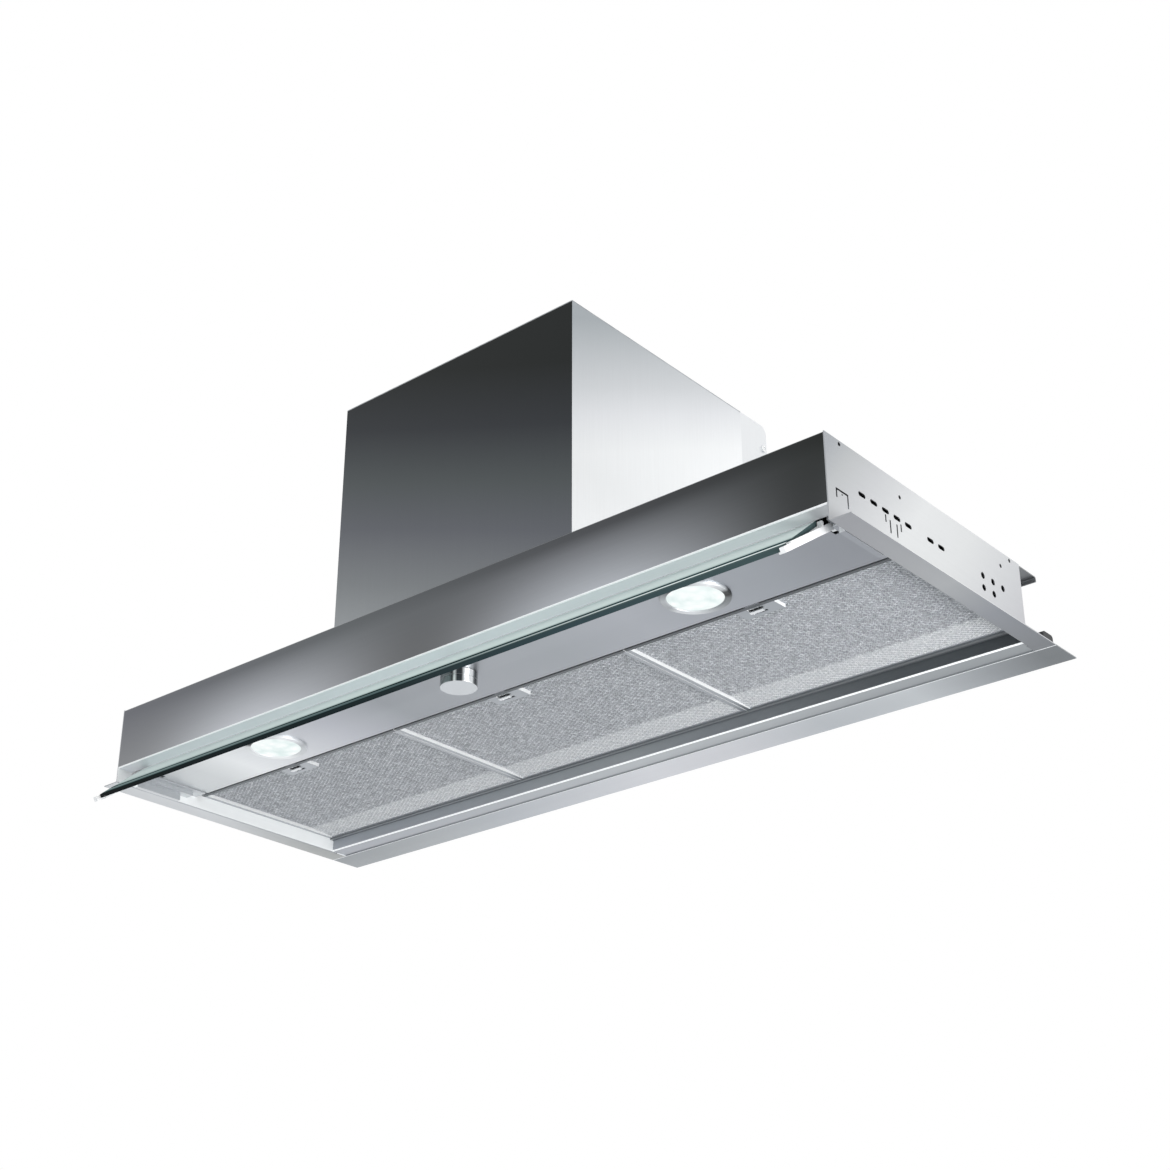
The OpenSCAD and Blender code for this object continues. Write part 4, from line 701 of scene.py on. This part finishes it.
def strand_metal(name):
    """Bright aluminium strands with painted glints: each catches the light its own way, so the tone is
    speckled.
    """
    material, tree = new_material(name)
    coords = add(tree, "TexCoord").outputs
    point, normal = coords["Object"], coords["Normal"]
    glint = add(tree, "TexNoise", {"Vector": point, "Scale": 330.0, "Detail": 2.0, "Roughness": 0.7})
    level = add(tree, "ValToRGB", [glint.outputs["Fac"]], [
        (0.3, "#86898e"), (0.5, "#b8bbc0"), (0.62, "#d8dadd"), (0.8, "#fbfbfc")])
    # Painted light: the sloped band's strands are lighter.
    slope = add(tree, "ValToRGB", [glint.outputs["Fac"]], [
        (0.3, "#b8bbbe"), (0.5, "#d9dbdd"), (0.62, "#eaebec"), (0.8, "#fbfbfb")])
    tone = banded(tree, point, level, slope)
    # Painted light: the sides that look right are painted near white.
    right_side = facing_weight(tree, normal, RIGHT, 0.2, 0.8)
    tone = add(tree, "Mix", {"Factor": right_side, 6: tone, 7: linear("#f4f5f6")}, data_type="RGBA")
    shader = add(tree, "BsdfPrincipled", {"Base Color": tone, "Metallic": 0.2, "Roughness": 0.4})
    add(tree, "OutputMaterial", {"Surface": shader})
    return material


pad_metal = woven_pad("woven_pad_aluminium")
strand = strand_metal("expanded_aluminium")
LONG, SHORT = 0.0064, 0.0040
HALF_WIDE, HALF_THICK = 0.00055, 0.00040  # of a strand's section
MARGIN_X, MARGIN_Y, FIRST_Y = 0.001, 0.0015, 0.0008  # of pad left bare, and the first strand's edge
SWAY = SHORT / 4 * 0.94  # a little less than a quarter, so neighbours touch without sharing corners
POCKET_LEFT, POCKET_RIGHT, POCKET_DEEP = 0.0246, 0.0152, 0.0178  # room for the latch

strand_total = 0
for side in ("left", "middle", "right"):
    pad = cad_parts["filter_mesh_" + side]
    pad.data.materials.clear()
    pad.data.materials.append(pad_metal)
    lo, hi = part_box("filter_mesh_" + side)
    middle = (lo.x + hi.x) / 2
    width, depth = hi.x - lo.x, hi.y - lo.y
    columns = int((width - MARGIN_X) / (LONG / 2))
    rows = int((depth - MARGIN_Y) / (SHORT / 2))
    k = np.arange(columns + 1)
    j = np.arange(rows)[:, None]
    x = lo.x + (width - columns * LONG / 2) / 2 + k * LONG / 2
    x = np.broadcast_to(x, (rows, columns + 1))
    y = lo.y + FIRST_Y + (j + 0.5) * SHORT / 2 + np.where((j + k) % 2 == 0, 1, -1) * SWAY
    z = lo.z + DROP - HALF_THICK - np.clip((y - (hi.y - BAND)) / BAND, 0, 1) * DROP
    section = np.array([[0, -HALF_WIDE, 0], [0, 0, -HALF_THICK], [0, HALF_WIDE, 0], [0, 0, HALF_THICK]])
    points = (np.stack([x, y, z], -1)[:, :, None, :] + section).reshape(-1, 3)
    inside = (x > middle - POCKET_LEFT) & (x < middle + POCKET_RIGHT) & (y < lo.y + POCKET_DEEP)
    kept = ~(inside[:, :-1] | inside[:, 1:])
    a = ((j * (columns + 1) + k[:-1]) * 4)[kept][:, None] + np.arange(4)
    b = np.roll(a, -1, axis=1)
    faces = np.stack([a, b, b + 4, a + 4], -1).reshape(-1, 4)
    opened = kept & ~np.pad(kept, ((0, 0), (1, 0)))[:, :-1]
    closed = kept & ~np.pad(kept, ((0, 0), (0, 1)))[:, 1:]
    starts = ((j * (columns + 1) + k[:-1]) * 4)[opened][:, None] + np.array([3, 2, 1, 0])
    ends = ((j * (columns + 1) + k[:-1] + 1) * 4)[closed][:, None] + np.array([0, 1, 2, 3])
    faces = np.concatenate([faces, starts, ends])
    used, renumbered = np.unique(faces, return_inverse=True)
    piece = mesh_piece("expanded_metal_" + side, points[used], renumbered.reshape(faces.shape),
                       side + "_filter", strand, smooth=False)
    strand_total += len(faces)
print("strand faces:", strand_total)

# %% [markdown]
# ## Visor glass
# Float glass is pale green in its mass. Through its faces it is almost clear. Into its polished edge
# one looks along hundreds of millimetres of it, and it is nearly black. The front of the upper face
# is ground to a shallow bevel 11 mm wide. It shows as a painted thin light line, and behind it a
# painted reflection of the dark edge. The slab is a profile in (s, t), s along the glass and t through
# it, carried along X and turned by its tilt: y = y0 + s cos a - t sin a, z = z0 + s sin a + t cos a. A
# refracting glass would be truer and slow and grainy in a 4 mm slab. A clear shader and a shader with
# a painted reflection tone are mixed instead.

# %% visor glass
TILT = math.radians(40)
THICK, LENGTH, ARRIS = 0.004, 0.0642, 0.0002
BEVEL, BEVEL_FALL = 0.011, 0.0002
CLEAR_FROM, CLEAR_TO = 0.020, 0.028  # how far behind the front edge the mirrored strips end
ALONG_GLASS = (0, math.cos(TILT), math.sin(TILT))
glass_low, glass_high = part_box("visor_glass")
# The slab's highest point is its rear upper corner, and its rearmost point the rear lower corner.
corner_y, corner_z = glass_high.y - THICK * math.sin(TILT), glass_high.z
front_s = corner_y * math.cos(TILT) + corner_z * math.sin(TILT) - LENGTH


def glass_face():
    """Clear sheet with a painted reflection of the room where it is seen at a glance. Along its front
    the ground bevel's painted light line and a painted reflection of the dark edge show: ramps over
    the distance from that edge, at the right, middle and left."""
    material, tree = new_material("visor_glass_face")
    point = add(tree, "TexCoord").outputs["Object"]
    x = add(tree, "SeparateXYZ", {0: point}).outputs["X"]

    def strip(stops):
        return line_tone(tree, point, ALONG_GLASS, [(front_s + d * MM, code) for d, code in stops])

    # Painted reflections and highlights: dark edge, light bevel line, pale room, white line at the rear.
    right = strip([(0, "#4f5f60"), (6.2, "#4b5d5d"), (6.8, "#e2efee"), (10.6, "#e6f0ef"), (11.2, "#2f4346"),
                   (18.6, "#34494b"), (19.8, "#a9bab8"), (27, "#d6e5e2"), (60, "#d9e4e4"), (62, "#ffffff")])
    middle = strip([(0, "#1d2a2b"), (3, "#203032"), (4.0, "#4e6163"), (13.0, "#5a6d6e"), (13.8, "#162426"),
                    (19.8, "#1a2829"), (20.8, "#98aaa8"), (27, "#cedfdc"), (60, "#dbe6e6"), (62, "#ffffff")])
    left = strip([(0, "#1b2829"), (3, "#2c3b3c"), (4.4, "#566a6a"), (12.4, "#8b9c9c"), (13.2, "#2d3f40"),
                  (18.6, "#354748"), (19.6, "#92a4a3"), (27, "#c8d7d5"), (58, "#d3dede"), (62, "#ffffff")])
    to_middle = add(tree, "MapRange", [x, -0.3, 0.0])
    to_right = add(tree, "MapRange", [x, 0.0, 0.3])
    tone = add(tree, "Mix", {"Factor": to_middle, 6: left, 7: middle}, data_type="RGBA")
    tone = add(tree, "Mix", {"Factor": to_right, 6: tone, 7: right}, data_type="RGBA")
    # Noise makes the painted reflection a little patchy, and more of it shows where the face is seen at a
    # glance.
    patchy_sheen = add(tree, "TexNoise", {"Vector": point, "Scale": 30.0, "Detail": 4.0})
    facing = add(tree, "LayerWeight", {"Blend": 0.5}).outputs["Facing"]
    mirror = add(tree, "MapRange", [facing, 0.6, 0.92, 0.1, 0.92])
    thin = add(tree, "Math", [patchy_sheen.outputs["Fac"], 0.06, mirror], operation="MULTIPLY_ADD")
    along = add(tree, "VectorMath", [point, ALONG_GLASS], operation="DOT_PRODUCT")
    body = add(tree, "MapRange", [along, front_s + CLEAR_FROM, front_s + CLEAR_TO, 1.0, thin])
    clear = add(tree, "BsdfTransparent", {"Color": linear("#f2f8f6")})
    sheen = add(tree, "BsdfPrincipled", {"Base Color": tone, "Roughness": 0.1, "Specular IOR Level": 0.0})
    mixed = add(tree, "MixShader", {0: body, 1: clear, 2: sheen})
    add(tree, "OutputMaterial", {"Surface": mixed})
    return material


def glass_edge():
    """Polished edge: nearly black at the left, and painted light makes it dark green-grey at the right."""
    material, tree = new_material("visor_glass_edge")
    point = add(tree, "TexCoord").outputs["Object"]
    tone = line_tone(tree, point, ALONG_X, [
        (-0.41, "#0c1213"), (0.0, "#1a2729"), (0.2, "#33454a"), (0.41, "#435455")])
    ripple = add(tree, "TexNoise", {"Vector": point, "Scale": 60.0})
    uneven = add(tree, "MapRange", [ripple.outputs["Fac"], 0, 1, 0.07, 0.14])
    shader = add(tree, "BsdfPrincipled", {"Base Color": tone, "Roughness": uneven,
                                          "Specular IOR Level": 0.05})
    add(tree, "OutputMaterial", {"Surface": shader})
    return material


FACE, EDGE = 0, 1
outline = [  # (s, t, material of the strip that starts here)
    (-LENGTH, ARRIS, EDGE), (-LENGTH, THICK - BEVEL_FALL, FACE), (-LENGTH + BEVEL, THICK, FACE),
    (-ARRIS, THICK, FACE), (0, THICK - ARRIS, FACE), (0, ARRIS, FACE), (-ARRIS, 0, FACE),
    (-LENGTH + ARRIS, 0, EDGE)]
s_t = np.array([row[:2] for row in outline])
y = corner_y + s_t[:, 0] * math.cos(TILT) - (s_t[:, 1] - THICK) * math.sin(TILT)
z = corner_z + s_t[:, 0] * math.sin(TILT) + (s_t[:, 1] - THICK) * math.cos(TILT)
count = len(outline)
points = np.concatenate([np.stack([np.full(count, x), y, z], -1) for x in (glass_low.x, glass_high.x)])
k = np.arange(count)
strips = np.stack([k, (k + 1) % count, (k + 1) % count + count, k + count], -1)
faces = [list(strip) for strip in strips] + [list(k[::-1]), list(k + count)]
visor = mesh_piece("visor_glass_slab", points, faces, "visor", [glass_face(), glass_edge()], smooth=False)
for polygon, row in zip(visor.data.polygons, outline + [(0, 0, EDGE)] * 2):
    polygon.material_index = row[2]
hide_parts("visor_glass")
print("visor glass", [round(v, 4) for v in points.min(0)], [round(v, 4) for v in points.max(0)],
      "frame", [round(v, 4) for v in glass_low], [round(v, 4) for v in glass_high])

# %% [markdown]
# ## Lamps
# Each lens is a pressed glass disc with shallow rings on a slight dome, at 25 radii r from 0 to R:
# h(k) = -0.6 mm (1 - (r/R)^2) + 0.18 mm cos(pi k / 2). It glows, and its pressed facets are whitest at
# their middles. A lamp behind clear glass would also do. A lens that glows itself has no grain.

# %% lamps
def lens_glow():
    """Frosted glass over white light."""
    material, tree = new_material("lamp_lens_glow")
    point = add(tree, "TexCoord").outputs["Object"]
    cut = add(tree, "TexVoronoi", {"Vector": point, "Scale": 120.0}, feature="SMOOTH_F1")
    tone = add(tree, "ValToRGB", [cut.outputs["Distance"]], [
        (0.0, "#ffffff"), (0.5, "#eef7f6"), (1.0, "#cfe2e0")])
    glow = add(tree, "Emission", {"Color": tone, "Strength": 1.05})
    glass = add(tree, "BsdfPrincipled", {"Base Color": tone, "Roughness": 0.15})
    mixed = add(tree, "MixShader", {0: 0.88, 1: glass, 2: glow})
    add(tree, "OutputMaterial", {"Surface": mixed})
    return material


LENS_R, LENS_RINGS, AXIS_R = 0.0240, 25, 0.00001
lens_material = lens_glow()
for side in ("left", "right"):
    lo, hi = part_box("lamp_lens_" + side)
    centre = ((lo.x + hi.x) / 2, (lo.y + hi.y) / 2, lo.z)
    radii = np.linspace(0, LENS_R, LENS_RINGS)
    dome = -0.0006 * (1 - (radii / LENS_R) ** 2) + 0.00018 * np.cos(np.pi * np.arange(LENS_RINGS) / 2)
    rim = [(0.0241, 0.0003), (0.0241, 0.0012), (0.0253, 0.0016), (0.0253, 0.0026), (AXIS_R, 0.0026)]
    profile = [(AXIS_R, dome[0]), *zip(radii[1:], dome[1:]), *rim]
    points, faces = lathe(profile, centre)
    lens = mesh_piece("lamp_lens_glass_" + side, points, faces, "hood", lens_material)
    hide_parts("lamp_lens_" + side)
print("lamps lit")

# %% [markdown]
# ## Screws
# Pan-head screws with a cross recess take the place of the plain heads. The head is a polar grid:
# h(r, a) = H (0.45 + 0.55 sqrt(1 - (r/1.25 R)^2)) less the recess, which is 1.3 mm deep inside a plus
# sign whose arms are 1 mm wide, with slopes 0.25 mm wide. The shank is the grid's rim, carried down.
# A Boolean could cut the recess. One height over a grid gives it without stray faces.

# %% screws
HEAD_R, HEAD_H, SHANK_R, SHANK_L = 0.0036, 0.0022, 0.0019, 0.006
ARM_HALF, ARM_REACH, SLOPE, RECESS = 0.0005, 0.0021, 0.00025, 0.0013
POINT_R, POINT_L = 0.00002, 0.0006  # radius at the screw's axis, and length of the shank's point


def screw_grid(steps=48, rings=18):
    """One screw along +Z with its seat at the origin: points (n, 3) and quads, closed at both ends."""
    angle = np.arange(steps) * 2 * np.pi / steps
    r = np.linspace(POINT_R, HEAD_R, rings)[:, None]
    u, v = np.abs(r * np.cos(angle)), np.abs(r * np.sin(angle))

    def arm(along, across):
        narrow = np.clip((ARM_HALF + SLOPE / 2 - across) / SLOPE, 0, 1)
        return narrow * np.clip((ARM_REACH - along) / SLOPE, 0, 1)

    dome = HEAD_H * (0.45 + 0.55 * np.sqrt(1 - (r / (1.25 * HEAD_R)) ** 2))
    height = dome - RECESS * np.maximum(arm(u, v), arm(v, u))
    top = np.stack([r * np.cos(angle), r * np.sin(angle), height], -1)
    below = [(HEAD_R, 0.0), (SHANK_R, 0.0), (SHANK_R, -SHANK_L + POINT_L), (POINT_R, -SHANK_L)]
    radius, level = np.array(below).T[:, :, None]
    rest = np.stack([radius * np.cos(angle), radius * np.sin(angle),
                     np.broadcast_to(level, (len(below), steps))], -1)
    grid = np.concatenate([top, rest])
    count = len(grid)
    i, k = np.meshgrid(np.arange(count - 1), np.arange(steps), indexing="ij")
    a, b = i * steps + k, i * steps + (k + 1) % steps
    quads = np.stack([a, a + steps, b + steps, b], -1).reshape(-1, 4)
    caps = [list(range(steps)), list(range(count * steps - 1, (count - 1) * steps - 1, -1))]
    return grid.reshape(-1, 3), quads, caps


OUT_LEFT, OUT_RIGHT, UP = (-1, 0, 0), (1, 0, 0), (0, 0, 1)
screw_places = [  # seat in millimetres and the way that the head points
    ((-150, -5.07, 310.9), OUT_LEFT), ((150, -5.07, 310.9), OUT_RIGHT),
    ((62, -124.5, 259.7), OUT_RIGHT), ((62, -58.35, 145.1), OUT_RIGHT), ((62, -190.65, 145.1), OUT_RIGHT),
    ((63.5, -104, 340.8), UP), ((-63.5, -104, 340.8), UP), ((63.5, -231, 340.8), UP),
    ((-63.5, -231, 340.8), UP), ((142.5, -250.45, 78.3), UP), ((-142.5, -250.45, 78.3), UP),
    ((142.5, -94.35, 78.3), UP), ((-142.5, -94.35, 78.3), UP)]
grid, quads, caps = screw_grid()
points, faces = [], []
for number, (seat, way) in enumerate(screw_places):
    turn = Vector((0, 0, 1)).rotation_difference(Vector(way)).to_matrix()
    spin = Matrix.Rotation(math.radians(37 * number), 3, "Z")
    start = number * len(grid)
    points.append(grid @ np.array(turn @ spin).T + np.array(seat) * MM)
    faces += [[v + start for v in face] for face in (*quads.tolist(), *caps)]
points = np.concatenate(points)
heads = mesh_piece("screw_heads", points, faces, "hood", bright_steel)
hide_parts("screws")
